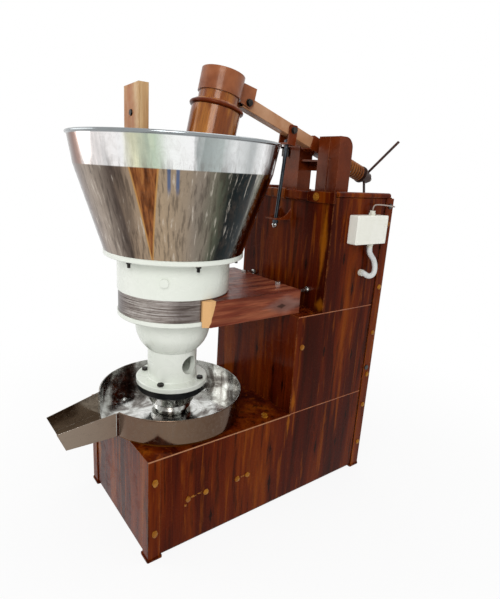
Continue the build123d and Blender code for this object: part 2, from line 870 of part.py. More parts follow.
# Trunnion: a square sleeve that the arm slides through, with the spring's seat behind,
# a pin on each side and the pins' retaining rings outside the ears
sleeve_inner = arm_size + 2 * sleeve_clearance
sleeve_outer = sleeve_inner + 2 * sleeve_wall
with BuildPart() as trunnion_sleeve:
    with BuildSketch(arm_base.offset(sleeve_front)):
        Rectangle(sleeve_outer, sleeve_outer)
        Rectangle(sleeve_inner, sleeve_inner, mode=Mode.SUBTRACT)
    extrude(amount=sleeve_back - sleeve_front)
    with BuildSketch(arm_base.offset(sleeve_back)):
        Circle(seat_radius)
        Circle(screw_radius + sleeve_clearance, mode=Mode.SUBTRACT)
    extrude(amount=seat_thickness)
    for side in sides.values():
        pin_plane = Plane(origin=(0, trunnion_y, trunnion_z), z_dir=(side, 0, 0))
        with BuildSketch(pin_plane.offset(sleeve_outer / 2)):
            Circle(pin_radius)
        extrude(amount=pin_reach - sleeve_outer / 2)
        with BuildSketch(pin_plane.offset(ear_inner + ear_plate + fit)):
            Circle(pin_radius + pin_ring_width)
        extrude(amount=pin_ring_width)
trunnion_sleeve.part.label = "trunnion_sleeve"
export_step(trunnion_sleeve.part, "parts/trunnion_sleeve.step")

# Pull arm: a square tube from the pestle's collar to the trunnion
with BuildPart() as pull_arm:
    with BuildSketch(arm_base.offset(arm_front)):
        RectangleRounded(arm_size, arm_size, arm_corner)
        Rectangle(arm_size - 2 * arm_wall, arm_size - 2 * arm_wall, mode=Mode.SUBTRACT)
    extrude(amount=arm_back - arm_front)
    with BuildSketch(arm_base.offset(arm_back - arm_plug)):
        Rectangle(arm_size - arm_wall, arm_size - arm_wall)
        Circle(screw_radius + running, mode=Mode.SUBTRACT)
    extrude(amount=arm_plug)
    for bolt_at in (head_bolt_at, hanger_at):
        bolt_y, bolt_z = arm_point(bolt_at)
        with BuildSketch(Plane.YZ.offset(-arm_size / 2)):
            with Locations((bolt_y, bolt_z)):
                Circle(arm_bolt_radius + running)
        extrude(amount=arm_size, mode=Mode.SUBTRACT)
pull_arm.part.label = "pull_arm"
export_step(pull_arm.part, "parts/pull_arm.step")

# Tension screw held in the arm's end plug, past the spring, washer and nut
spring_start = sleeve_back + seat_thickness + fit
washer_at = spring_start + spring_length + fit
nut_at = washer_at + washer_thickness + fit
with BuildPart() as tension_screw:
    with BuildSketch(arm_base.offset(arm_back - arm_plug)):
        Circle(screw_radius)
    extrude(amount=nut_at + nut_length + screw_tail - arm_back + arm_plug)
    chamfer(tension_screw.edges().filter_by(GeomType.CIRCLE).sort_by(Axis.Y)[-1], screw_bevel)
tension_screw.part.label = "tension_screw"
export_step(tension_screw.part, "parts/tension_screw.step")

# Compression spring between its seat and the thrust washer
coil_rise = spring_length - 2 * spring_wire
spring_plane = arm_base.offset(spring_start + spring_wire)
with BuildPart() as spring:
    with BuildLine():
        coil = Helix(
            pitch=coil_rise / spring_turns,
            height=coil_rise,
            radius=spring_radius,
            center=spring_plane.origin,
            direction=spring_plane.z_dir,
        )
    with BuildSketch(Plane(origin=coil @ 0, z_dir=coil % 0)):
        Circle(spring_wire)
    sweep(path=coil, is_frenet=True)
spring.part.label = "spring"
export_step(spring.part, "parts/spring.step")

# Thrust washer, capstan nut and its three spokes
with BuildPart() as thrust_washer:
    with BuildSketch(arm_base.offset(washer_at)):
        Circle(washer_radius)
        Circle(screw_radius + running, mode=Mode.SUBTRACT)
    extrude(amount=washer_thickness)
thrust_washer.part.label = "thrust_washer"
export_step(thrust_washer.part, "parts/thrust_washer.step")

with BuildPart() as capstan_nut:
    with BuildSketch(arm_base.offset(nut_at)):
        Circle(nut_radius)
        Circle(screw_radius + running, mode=Mode.SUBTRACT)
    extrude(amount=nut_length)
    chamfer(capstan_nut.edges().filter_by(GeomType.CIRCLE).sort_by(Axis.Y)[-1], 1)
    spoke_base = arm_base.offset(nut_at + nut_length / 2)
    for angle in spoke_angles:
        outward = spoke_base.x_dir * cos(radians(angle)) + spoke_base.y_dir * sin(radians(angle))
        spoke_root = spoke_base.origin + outward * (nut_radius - spoke_sink)
        with BuildSketch(Plane(origin=spoke_root, z_dir=outward)):
            Circle(spoke_radius)
        extrude(amount=spoke_reach - nut_radius + spoke_sink)
capstan_nut.part.label = "capstan_nut"
export_step(capstan_nut.part, "parts/capstan_nut.step")

# Pestle: a turned log with a round toe, a groove for its ring and a neck in the collar
shoulder_start = pestle_shoulder - pestle_shoulder_round
shoulder_rim = pestle_radius - pestle_shoulder_round
with BuildPart() as pestle:
    with BuildSketch(pestle_profile):
        with BuildLine():
            ThreePointArc((0, 0), (pestle_radius * 0.74, pestle_radius * 0.3),
                          (pestle_radius, pestle_radius * 0.95))
            Line((pestle_radius, pestle_radius * 0.95), (pestle_radius, shoulder_start))
            RadiusArc((pestle_radius, shoulder_start), (shoulder_rim, pestle_shoulder),
                      -pestle_shoulder_round)
            Polyline(
                (shoulder_rim, pestle_shoulder),
                (pestle_neck_radius, pestle_shoulder),
                (pestle_neck_radius, pestle_length - pestle_end_bevel),
                (pestle_neck_radius - pestle_end_bevel, pestle_length),
                (0, pestle_length),
                (0, 0),
            )
        make_face()
        with Locations((pestle_radius + pestle_ring_proud, pestle_ring_at)):
            Circle(pestle_ring_radius + running, mode=Mode.SUBTRACT)
    revolve(axis=pestle_axis)
pestle.part.label = "pestle"
export_step(pestle.part, "parts/pestle.step")

# Steel ring round the pestle, under the collar
with BuildPart() as pestle_ring:
    with BuildSketch(pestle_profile):
        with Locations((pestle_radius + pestle_ring_proud, pestle_ring_at)):
            Circle(pestle_ring_radius)
    revolve(axis=pestle_axis)
pestle_ring.part.label = "pestle_ring"
export_step(pestle_ring.part, "parts/pestle_ring.step")

# Collar on the pestle's neck, with two lugs that straddle the arm
head_collar_inner = pestle_neck_radius + fit
head_collar_outer = head_collar_inner + head_collar_wall
lug_inner = arm_size / 2 + fit
lug_tip = head_collar_outer + lug_reach
lug_heel = head_collar_outer - lug_root
lug_top = head_collar_at + head_collar_height - lug_top_drop
lug_foot = head_collar_at - lug_foot_drop
with BuildPart() as head_collar:
    with BuildSketch(pestle_base.offset(head_collar_at)):
        Circle(head_collar_outer)
    extrude(amount=head_collar_height)
    for side in sides.values():
        lug_plane = Plane(origin=pestle_base.origin, x_dir=pestle_base.z_dir, z_dir=(1, 0, 0))
        with BuildSketch(lug_plane.offset(side * lug_inner)):
            with BuildLine():
                Polyline(
                    (head_collar_at, -lug_heel),
                    (lug_top, -lug_heel),
                    (lug_top, -lug_tip),
                    (lug_foot + lug_corner, -lug_tip),
                    (lug_foot, -lug_tip + lug_corner),
                    (head_collar_at, -head_collar_outer),
                    close=True,
                )
            make_face()
        extrude(amount=side * lug_thickness)
    with BuildSketch(pestle_base.offset(head_collar_at)):
        Circle(head_collar_inner)
    extrude(amount=head_collar_height, mode=Mode.SUBTRACT)
    with BuildSketch(Plane.YZ):
        with Locations(arm_point(head_bolt_at)):
            Circle(arm_bolt_radius + running)
    extrude(amount=lug_inner + lug_thickness, both=True, mode=Mode.SUBTRACT)
head_collar.part.label = "head_collar"
export_step(head_collar.part, "parts/head_collar.step")

# Bolts along X, each with a head, a nut and two washers outside the plates it joins
with BuildPart() as arm_bolts:
    for bolt_at, bolt_plate in ((head_bolt_at, lug_thickness), (hanger_at, hanger_plate)):
        half_grip = lug_inner + bolt_plate + fit
        nut_face = half_grip + arm_bolt_washer
        for start, length, shape in (
            (-nut_face, 2 * nut_face, "shank"),
            (half_grip, arm_bolt_washer, "washer"),
            (-nut_face, arm_bolt_washer, "washer"),
            (nut_face, arm_bolt_nut, "hexagon"),
            (-nut_face - arm_bolt_nut, arm_bolt_nut, "hexagon"),
        ):
            with BuildSketch(Plane.YZ.offset(start)):
                with Locations(arm_point(bolt_at)):
                    if shape == "hexagon":
                        RegularPolygon(arm_bolt_head, 6)
                    else:
                        Circle(arm_bolt_radius if shape == "shank" else 1.15 * arm_bolt_head)
            extrude(amount=length)
arm_bolts.part.label = "arm_bolts"
export_step(arm_bolts.part, "parts/arm_bolts.step")

# Hanger: a stirrup that straddles the arm
with BuildPart() as hanger:
    for side in sides.values():
        hanger_side = Plane(origin=hanger_base.origin, x_dir=hanger_base.z_dir, z_dir=(1, 0, 0))
        with BuildSketch(hanger_side.offset(side * lug_inner)):
            with Locations(((hanger_drop - hanger_width / 2) / 2, 0)):
                RectangleRounded(hanger_drop + hanger_width / 2, hanger_width, hanger_corner)
            with Locations((hanger_drop - hanger_corner, 0)):
                Rectangle(2 * hanger_corner, hanger_width)
            Circle(arm_bolt_radius + running, mode=Mode.SUBTRACT)
        extrude(amount=side * hanger_plate)
    with BuildSketch(hanger_base.offset(hanger_drop)):
        Rectangle(2 * (lug_inner + hanger_plate), hanger_width)
        Circle(rod_radius + running, mode=Mode.SUBTRACT)
    extrude(amount=-hanger_plate)
hanger.part.label = "rod_hanger"
export_step(hanger.part, "parts/rod_hanger.step")

# Hanging rod, with a nut on the stirrup's foot and one under the tower bracket
rod_start = hanger_drop - hanger_plate - rod_nut
with BuildPart() as hanging_rod:
    with BuildSketch(hanger_base.offset(rod_start - bolt_tail)):
        Circle(rod_radius)
    extrude(amount=rod_run + rod_tail - rod_start + bolt_tail)
    for nut_start in (rod_start, rod_run + rod_bracket_plate / 2 + rod_nut_gap):
        with BuildSketch(hanger_base.offset(nut_start)):
            RegularPolygon(rod_radius * 1.7, 6)
        extrude(amount=rod_nut)
hanging_rod.part.label = "hanging_rod"
export_step(hanging_rod.part, "parts/hanging_rod.step")

# Bracket on the tower front: a plate with a hole for the rod and two curved gussets
bracket_bottom = rod_foot_z - rod_bracket_plate / 2
bracket_front = tower_front_y - rod_bracket_reach
with BuildPart() as rod_bracket:
    with BuildSketch(Plane.XY.offset(bracket_bottom)):
        with Locations((0, tower_front_y - rod_bracket_reach / 2)):
            Rectangle(rod_bracket_width, rod_bracket_reach)
        with Locations((0, rod_foot_y)):
            Circle(rod_radius + rod_hole_clearance, mode=Mode.SUBTRACT)
    extrude(amount=rod_bracket_plate)
    for side in sides.values():
        with BuildSketch(Plane.YZ.offset(side * rod_bracket_width / 2)):
            with BuildLine():
                Line((bracket_front, rod_foot_z), (tower_front_y, rod_foot_z))
                Line((tower_front_y, rod_foot_z), (tower_front_y, rod_foot_z + gusset_height))
                ThreePointArc(
                    (tower_front_y, rod_foot_z + gusset_height),
                    (tower_front_y - 0.3 * rod_bracket_reach, rod_foot_z + 0.42 * gusset_height),
                    (bracket_front, rod_foot_z),
                )
            make_face()
        extrude(amount=-side * gusset_thickness)
rod_bracket.part.label = "rod_bracket"
export_step(rod_bracket.part, "parts/rod_bracket.step")

# Mortar casting: flange and neck with an oil cavity, bowl, drum with a band seat and a
# round plug, and top flange
hopper_shank = 0.75 * arm_bolt_radius
flange_top = lower_flange_bottom + lower_flange_thickness
band_seat = band_radius - band_thickness
liner_small = 0.89 * bowl_radius
liner_seat_radius = 0.43 * liner_small
liner_seat_z = bowl_centre_z - liner_seat_drop
flange_under = mortar_top - top_flange_thickness
with BuildPart() as mortar_casting:
    with BuildSketch(mortar_profile):
        with BuildLine():
            Polyline(
                (0, lower_flange_bottom),
                (lower_flange_radius, lower_flange_bottom),
                (lower_flange_radius, flange_top - flange_edge),
                (lower_flange_radius - flange_edge, flange_top),
                (neck_radius + neck_fillet, flange_top),
            )
            RadiusArc((neck_radius + neck_fillet, flange_top),
                      (neck_radius, flange_top + neck_fillet), neck_fillet)
            Line((neck_radius, flange_top + neck_fillet), (neck_radius, neck_top))
            ThreePointArc(
                (neck_radius, neck_top),
                (bowl_radius * 0.888, bowl_centre_z - bowl_radius * 0.46),
                (bowl_radius, bowl_centre_z),
            )
            Polyline(
                (bowl_radius, bowl_centre_z),
                (bowl_radius + 1, drum_bottom - lip_taper),
                (drum_radius - lip_edge, drum_bottom),
                (drum_radius, drum_bottom + lip_edge),
                (drum_radius, band_bottom),
                (band_seat, band_bottom),
                (band_seat, band_top),
                (drum_radius, band_top),
                (drum_radius, flange_under - top_flange_fillet),
                (drum_radius + top_flange_fillet, flange_under),
                (top_flange_radius - flange_edge, flange_under),
                (top_flange_radius, flange_under + flange_edge),
                (top_flange_radius, mortar_top - flange_edge),
                (top_flange_radius - flange_edge, mortar_top),
                (liner_radius, mortar_top),
                (liner_radius, liner_step_z),
                (liner_small, liner_step_z - liner_step),
            )
            ThreePointArc(
                (liner_small, liner_step_z - liner_step),
                (liner_small * 0.83, bowl_centre_z - 0.53 * liner_seat_drop),
                (liner_seat_radius, liner_seat_z),
            )
            Polyline(
                (liner_seat_radius, liner_seat_z),
                (drain_radius, liner_seat_z),
                (drain_radius, cavity_top + cavity_bevel),
                (cavity_radius - 1.5 * cavity_bevel, cavity_top + cavity_bevel),
                (cavity_radius, cavity_top - cavity_bevel),
                (cavity_radius, cavity_bottom + cavity_bevel),
                (cavity_radius - cavity_bevel, cavity_bottom),
                (0, cavity_bottom),
                (0, lower_flange_bottom),
            )
        make_face()
    revolve(axis=mortar_axis)
    outlet = radians(outlet_angle)
    with BuildSketch(Plane(origin=(0, mortar_y, outlet_z), z_dir=(cos(outlet), sin(outlet), 0))):
        Circle(outlet_radius)
    extrude(amount=neck_radius + plate, mode=Mode.SUBTRACT)
    with BuildSketch(Plane.XY.offset(lower_flange_bottom)):
        with Locations((0, mortar_y)):
            with PolarLocations(flange_bolt_ring_radius, 4, start_angle=flange_bolt_start):
                Circle(arm_bolt_radius + fit)
    extrude(amount=lower_flange_thickness, mode=Mode.SUBTRACT)
    with BuildSketch(Plane.XY.offset(mortar_top)):
        with Locations((0, mortar_y)):
            with PolarLocations(hopper_bolt_ring_radius, 6, start_angle=hopper_bolt_start):
                Circle(hopper_shank + fit)
    extrude(amount=-top_flange_thickness, mode=Mode.SUBTRACT)
    plug = radians(plug_angle)
    plug_plane = Plane(origin=(0, mortar_y, plug_z), z_dir=(cos(plug), sin(plug), 0))
    with BuildSketch(plug_plane.offset((liner_radius + drum_radius) / 2)):
        Circle(plug_radius)
    extrude(amount=(drum_radius - liner_radius) / 2 + plug_height)
mortar_casting.part.label = "mortar_casting"
export_step(mortar_casting.part, "parts/mortar_casting.step")

# Wooden liner with the pit that the pestle works in
pit_bottom = pestle_toe_z - pit_clearance
pit_wall = pestle_radius + pit_play
pit_mouth = pestle_radius + pit_flare
drain_bore = 0.7 * drain_radius
liner_top = mortar_top - 1
with BuildPart() as mortar_liner:
    with BuildSketch(mortar_profile):
        with BuildLine():
            Polyline(
                (drain_bore, liner_seat_z + fit),
                (liner_seat_radius - fit, liner_seat_z + fit),
            )
            ThreePointArc(
                (liner_seat_radius - fit, liner_seat_z + fit),
                (liner_small * 0.83 - fit, bowl_centre_z - 0.53 * liner_seat_drop + fit),
                (liner_small - fit, liner_step_z - liner_step + fit),
            )
            Polyline(
                (liner_small - fit, liner_step_z - liner_step + fit),
                (liner_radius - fit, liner_step_z + fit),
                (liner_radius - fit, liner_top),
                (liner_radius - liner_rim, liner_top),
                (pit_mouth, mortar_top - 0.22 * drum_height),
                (pit_wall + pit_play / 2, bowl_centre_z + 0.45 * bowl_radius),
                (pit_wall, bowl_centre_z + 0.26 * bowl_radius),
            )
            ThreePointArc(
                (pit_wall, bowl_centre_z + 0.26 * bowl_radius),
                (pestle_radius * 0.87, pit_bottom + 2 * pit_play),
                (drain_bore, pit_bottom),
            )
            Line((drain_bore, pit_bottom), (drain_bore, liner_seat_z + fit))
        make_face()
    revolve(axis=mortar_axis)
mortar_liner.part.label = "mortar_liner"
export_step(mortar_liner.part, "parts/mortar_liner.step")

# Steel band round the drum, where the brace block bears
with BuildPart() as wear_band:
    with BuildSketch(Plane.XY.offset(band_bottom + fit)):
        with Locations((0, mortar_y)):
            Circle(band_radius)
            Circle(band_seat + running, mode=Mode.SUBTRACT)
    extrude(amount=band_top - band_bottom - 2 * fit)
wear_band.part.label = "wear_band"
export_step(wear_band.part, "parts/wear_band.step")

# Hopper: a spun steel cone with a steeper upper band, a rolled rim and a bolting flange
with BuildPart() as hopper:
    with BuildSketch(mortar_profile):
        with BuildLine():
            Polyline(
                (hopper_flange_inner, mortar_top + running),
                (hopper_bottom_radius, mortar_top + running),
                (hopper_knee_radius, hopper_knee_z),
                (hopper_rim_radius, hopper_rim_z),
                (hopper_rim_radius - hopper_sheet, hopper_rim_z),
                (hopper_knee_radius - hopper_sheet, hopper_knee_z + fit),
                (hopper_bottom_radius - hopper_sheet, mortar_top + hopper_sheet + running),
                (hopper_flange_inner, mortar_top + hopper_sheet + running),
                close=True,
            )
        make_face()
        with Locations((hopper_rim_radius + 1, hopper_rim_z + hopper_bead / 2)):
            Circle(hopper_bead)
    revolve(axis=mortar_axis)
    with BuildSketch(Plane.XY.offset(mortar_top)):
        with Locations((0, mortar_y)):
            with PolarLocations(hopper_bolt_ring_radius, 6, start_angle=hopper_bolt_start):
                Circle(hopper_shank + fit)
    extrude(amount=2 * hopper_sheet, mode=Mode.SUBTRACT)
hopper.part.label = "hopper"
export_step(hopper.part, "parts/hopper.step")

# Bolts of the hopper and of the lower flange, heads up
hopper_seat = mortar_top + hopper_sheet + running
flange_bolt_end = coupling_bottom + coupling_height / 6
hopper_bolt_end = flange_under - hopper_bolt_tail
with BuildPart() as mortar_bolts:
    for circle_radius, count, first, shank, bottom, seat, nut_face in (
        (hopper_bolt_ring_radius, 6, hopper_bolt_start, hopper_shank, hopper_bolt_end, hopper_seat,
         flange_under),
        (flange_bolt_ring_radius, 4, flange_bolt_start, arm_bolt_radius, flange_bolt_end, flange_top,
         None),
    ):
        with BuildSketch(Plane.XY.offset(bottom)):
            with Locations((0, mortar_y)):
                with PolarLocations(circle_radius, count, start_angle=first):
                    Circle(shank)
        extrude(amount=seat - bottom)
        with BuildSketch(Plane.XY.offset(seat)):
            with Locations((0, mortar_y)):
                with PolarLocations(circle_radius, count, start_angle=first):
                    RegularPolygon(shank * 1.75, 6)
        extrude(amount=shank * 1.25)
        if nut_face:
            with BuildSketch(Plane.XY.offset(nut_face)):
                with Locations((0, mortar_y)):
                    with PolarLocations(circle_radius, count, start_angle=first):
                        RegularPolygon(shank * 1.75, 6)
            extrude(amount=-shank * 1.6)
mortar_bolts.part.label = "mortar_bolts"
export_step(mortar_bolts.part, "parts/mortar_bolts.step")

# Black coupling flange between the drive shaft and the mortar
shaft_top = lower_flange_bottom - plate
with BuildPart() as coupling_flange:
    with BuildSketch(mortar_profile):
        with BuildLine():
            Polyline(
                (shaft_radius + running, coupling_bottom),
                (coupling_radius - coupling_edge, coupling_bottom),
                (coupling_radius, coupling_bottom + coupling_edge),
                (coupling_radius, lower_flange_bottom),
                (shaft_radius + running, lower_flange_bottom),
                close=True,
            )
        make_face()
    revolve(axis=mortar_axis)
    with BuildSketch(Plane.XY.offset(flange_bolt_end - fit)):
        with Locations((0, mortar_y)):
            with PolarLocations(flange_bolt_ring_radius, 4, start_angle=flange_bolt_start):
                Circle(arm_bolt_radius + running)
    extrude(amount=lower_flange_bottom - flange_bolt_end + fit, mode=Mode.SUBTRACT)
coupling_flange.part.label = "coupling_flange"
export_step(coupling_flange.part, "parts/coupling_flange.step")

# Bright stepped collar under it, which skirts the tray's hub
with BuildPart() as shaft_collar:
    with BuildSketch(mortar_profile):
        with BuildLine():
            Polyline(
                (hub_radius + collar_skirt_gap, collar_bottom),
                (collar_radius - 1.5 * collar_step, collar_bottom),
                (collar_radius - collar_step, collar_bottom + collar_foot),
                (collar_radius, collar_bottom + collar_foot + collar_step),
                (collar_radius, coupling_bottom - 2.4 * collar_edge),
                (collar_radius - collar_edge, coupling_bottom),
                (shaft_radius + running, coupling_bottom),
                (shaft_radius + running, hub_top + shaft_clearance),
                (hub_radius + collar_skirt_gap, hub_top + shaft_clearance),
                close=True,
            )
        make_face()
    revolve(axis=mortar_axis)
shaft_collar.part.label = "shaft_collar"
export_step(shaft_collar.part, "parts/shaft_collar.step")

# Drive shaft from the gearbox to the coupling
with BuildPart() as drive_shaft:
    with BuildSketch(Plane.XY.offset(gearbox_bottom + gearbox_wall + 1)):
        with Locations((0, mortar_y)):
            Circle(shaft_radius)
    extrude(amount=shaft_top - gearbox_bottom - gearbox_wall - 1)
    chamfer(drive_shaft.edges().filter_by(GeomType.CIRCLE), 2)
drive_shaft.part.label = "drive_shaft"
export_step(drive_shaft.part, "parts/drive_shaft.step")

# Bearings of the drive shaft, with its housing under the deck, and of the input shaft
housing_top = deck_height - plate
with BuildPart() as bearings:
    with BuildSketch(mortar_profile):
        with BuildLine():
            Polyline(
                (shaft_radius + plate, housing_top),
                (housing_flange, housing_top),
                (housing_flange, housing_top - housing_wall),
                (bearing_radius + housing_wall, housing_top - 1.4 * housing_wall),
                (bearing_radius + housing_wall, housing_top - housing_height),
                (bearing_radius, housing_top - housing_height),
                (bearing_radius, housing_top - housing_shoulder),
                (shaft_radius + plate, housing_top - housing_shoulder),
                close=True,
            )
        make_face()
    revolve(axis=mortar_axis)
    with BuildSketch(Plane.XY.offset(housing_top - housing_shoulder - fit - bearing_height)):
        with Locations((0, mortar_y)):
            Circle(bearing_radius - running)
            Circle(shaft_radius + running, mode=Mode.SUBTRACT)
    extrude(amount=bearing_height)
    for side in sides.values():
        with BuildSketch(Plane.YZ.offset(side * (gearbox_x - gearbox_wall))):
            with Locations((worm_y, gear_z)):
                Circle(bearing_outer - running)
                Circle(input_radius + running, mode=Mode.SUBTRACT)
        extrude(amount=side * gearbox_wall)
bearings.part.label = "bearings"
export_step(bearings.part, "parts/bearings.step")

# Oil tray: floor with a raised hub, wall with a rolled edge, and the sloping spout
spout_root_z = (tray_top + tray_floor) / 2
spout_tip_z = (spout_tip_top + spout_tip_floor) / 2
spout_root_height = tray_top - tray_floor
spout_tip_height = spout_tip_top - spout_tip_floor
with BuildPart() as tray:
    with BuildSketch(mortar_profile):
        with BuildLine():
            Polyline(
                (hub_radius, tray_floor),
                (tray_radius, tray_floor),
                (tray_radius, tray_top),
                (tray_radius - tray_sheet, tray_top),
                (tray_radius - tray_sheet, tray_floor + tray_sheet),
                (hub_radius + tray_sheet, tray_floor + tray_sheet),
                (hub_radius + tray_sheet, hub_top),
                (hub_radius, hub_top),
                close=True,
            )
        make_face()
        with Locations((tray_radius - tray_sheet / 2, tray_top)):
            Circle(tray_bead)
    revolve(axis=mortar_axis)
    with BuildSketch(Plane.XZ.offset(-spout_root_y)):
        with Locations((spout_x, spout_root_z)):
            Rectangle(2 * spout_root_half, spout_root_height)
    with BuildSketch(Plane.XZ.offset(-spout_tip_y)):
        with Locations((spout_x, spout_tip_z)):
            Rectangle(2 * spout_tip_half, spout_tip_height)
    loft()
    with BuildSketch(Plane.XZ.offset(-spout_root_y)):
        with Locations((spout_x, spout_root_z)):
            Rectangle(2 * spout_root_half, spout_root_height)
    extrude(amount=-spout_reach_in / 2)
    with BuildSketch(Plane.XZ.offset(-spout_root_y)):
        with Locations((spout_x, spout_root_z + spout_root_height / 2)):
            Rectangle(2 * (spout_root_half - tray_sheet), 2 * (spout_root_height - tray_sheet))
    with BuildSketch(Plane.XZ.offset(-spout_tip_y)):
        with Locations((spout_x, spout_tip_z + spout_tip_height / 2)):
            Rectangle(2 * (spout_tip_half - tray_sheet), 2 * (spout_tip_height - tray_sheet))
    loft(mode=Mode.SUBTRACT)
    with BuildSketch(Plane.XZ.offset(-spout_root_y)):
        with Locations((spout_x, spout_root_z + spout_root_height / 2)):
            Rectangle(2 * (spout_root_half - tray_sheet), 2 * (spout_root_height - tray_sheet))
    extrude(amount=-spout_reach_in, mode=Mode.SUBTRACT)
    with BuildSketch(Plane.XY.offset(tray_floor + tray_sheet)):
        with Locations((0, mortar_y)):
            Circle(tray_radius - tray_sheet)
            Circle(hub_radius + tray_sheet, mode=Mode.SUBTRACT)
    extrude(amount=spout_root_height, mode=Mode.SUBTRACT)
    with BuildSketch(Plane.YZ.offset(spout_x)):
        with BuildLine():
            Polyline(
                (spout_tip_y - 1, spout_tip_top),
                (spout_tip_y, spout_tip_top),
                (spout_tip_y + spout_lip_rake, spout_tip_floor - 1),
                (spout_tip_y - 1, spout_tip_floor - 1),
                close=True,
            )
        make_face()
    extrude(amount=spout_root_half, both=True, mode=Mode.SUBTRACT)
tray.part.label = "tray"
export_step(tray.part, "parts/tray.step")

# Ring that the tray stands on
support_height = tray_floor - deck_height
with BuildPart() as tray_support:
    with BuildSketch(Plane.XY.offset(deck_height)):
        with Locations((0, mortar_y)):
            Circle(support_radius)
            Circle(support_radius - support_width, mode=Mode.SUBTRACT)
            Circle(hub_radius + inner_support_width)
            Circle(hub_radius, mode=Mode.SUBTRACT)
    extrude(amount=support_height)
tray_support.part.label = "tray_support"
export_step(tray_support.part, "parts/tray_support.step")

# Brace block: thick timber with a round cut that bears on the band
brace_cut = band_radius + 3 * fit
lip_cut = drum_radius + brace_lip_gap
with BuildPart() as brace_block:
    with BuildSketch(Plane.XY.offset(shelf_height)):
        with BuildLine():
            Polyline(
                (-brace_half_width, brace_back),
                (-brace_half_width, mortar_y + brace_horn_slope),
                (-lip_cut - 2, mortar_y),
                (lip_cut + 2, mortar_y),
                (brace_half_width, mortar_y + brace_horn_slope),
                (brace_half_width, brace_back),
                close=True,
            )
        make_face()
        with Locations((0, mortar_y)):
            Circle(brace_cut, mode=Mode.SUBTRACT)
        with Locations((-brace_bolt_x, brace_bolt_y), (brace_bolt_x, brace_bolt_y)):
            Circle(stay_radius + fit, mode=Mode.SUBTRACT)
    extrude(amount=brace_top - shelf_height)
    with BuildSketch(Plane.XY.offset(shelf_height)):
        with Locations((0, mortar_y)):
            Circle(lip_cut)
    extrude(amount=band_bottom + running - shelf_height, mode=Mode.SUBTRACT)
brace_block.part.label = "brace_block"
export_step(brace_block.part, "parts/brace_block.step")

# Bolts through the block and the shelf, and the threaded stays that back the block
# against the tower
shelf_rail_bottom = shelf_rail_z - frame_tube / 2
stay_start = brace_back + fit
stay_end = tower_front_y + sheet + stay_tail
stay_nuts = (stay_start, tower_front_y - brace_nut - fit, tower_front_y + sheet + fit)
with BuildPart() as brace_bolts:
    with BuildSketch(Plane.XY.offset(shelf_rail_bottom - brace_nut - bolt_tail)):
        with Locations((-brace_bolt_x, brace_bolt_y), (brace_bolt_x, brace_bolt_y)):
            Circle(stay_radius)
    extrude(amount=brace_top - shelf_rail_bottom + brace_nut + bolt_tail)
    for start in (brace_top, shelf_rail_bottom - brace_nut):
        with BuildSketch(Plane.XY.offset(start)):
            with Locations((-brace_bolt_x, brace_bolt_y), (brace_bolt_x, brace_bolt_y)):
                RegularPolygon(stay_radius * 1.7, 6)
        extrude(amount=brace_nut)
    with BuildSketch(Plane.XZ.offset(-stay_start)):
        with Locations((-stay_x, stay_z), (stay_x, stay_z)):
            Circle(stay_radius)
    extrude(amount=stay_start - stay_end)
    for start in stay_nuts:
        with BuildSketch(Plane.XZ.offset(-start)):
            with Locations((-stay_x, stay_z), (stay_x, stay_z)):
                RegularPolygon(stay_radius * 1.8, 6)
        extrude(amount=-brace_nut)
brace_bolts.part.label = "brace_bolts"
export_step(brace_bolts.part, "parts/brace_bolts.step")

# Scraper board that hangs in the hopper, and the steel bar and bolt that hold it
board_back = board_front + board_thickness
with BuildPart() as scraper_board:
    with BuildSketch(Plane.XZ.offset(-board_back)):
        with BuildLine():
            Polyline(
                (board_x - board_width / 2, board_top - board_top_slope),
                (board_x - board_width / 2, board_bottom + board_bevel),
                (board_x - board_width / 4, board_bottom),
                (board_x + board_width / 2, board_bottom),
                (board_x + board_width / 2, board_top),
                close=True,
            )
        make_face()
        with Locations((board_x, board_bolt_z)):
            Circle(hopper_shank + fit, mode=Mode.SUBTRACT)
    extrude(amount=board_thickness)
scraper_board.part.label = "scraper_board"
export_step(scraper_board.part, "parts/scraper_board.step")

bar_start = board_back
bar_stop = ear_front
tab_x = -(ear_outer - scraper_bar_width / 2)
with BuildPart() as scraper_bar:
    with BuildSketch(Plane.XY.offset(scraper_bar_z)):
        with BuildLine():
            Polyline(
                (board_x - scraper_bar_width / 2, bar_start),
                (board_x + scraper_bar_width / 2, bar_start),
                (tab_x + scraper_bar_width / 2, bar_stop),
                (tab_x - scraper_bar_width / 2, bar_stop),
                close=True,
            )
        make_face()
    extrude(amount=scraper_bar_thickness)
    with BuildSketch(Plane.XZ.offset(-bar_start - scraper_bar_thickness)):
        with Locations((board_x, scraper_bar_z + scraper_tab_rise / 2)):
            Rectangle(scraper_bar_width, scraper_tab_rise)
    extrude(amount=scraper_bar_thickness)
    with BuildSketch(Plane.XZ.offset(-bar_stop)):
        with Locations((tab_x, scraper_bar_z + scraper_bar_thickness - scraper_tab_drop / 2)):
            Rectangle(scraper_bar_width, scraper_tab_drop)
    extrude(amount=scraper_bar_thickness)
    with BuildSketch(Plane.XZ.offset(-board_front)):
        with Locations((board_x, board_bolt_z)):
            Circle(arm_bolt_head)
    extrude(amount=board_bolt_dome, taper=20)
    with BuildSketch(Plane.XZ.offset(-board_front)):
        with Locations((board_x, board_bolt_z)):
            Circle(hopper_shank)
    extrude(amount=-board_thickness - scraper_bar_thickness - brace_nut)
    with BuildSketch(Plane.XZ.offset(-bar_start - scraper_bar_thickness)):
        with Locations((board_x, board_bolt_z)):
            RegularPolygon(0.85 * arm_bolt_head, 6)
    extrude(amount=-arm_bolt_nut)
scraper_bar.part.label = "scraper_bar"
export_step(scraper_bar.part, "parts/scraper_bar.step")

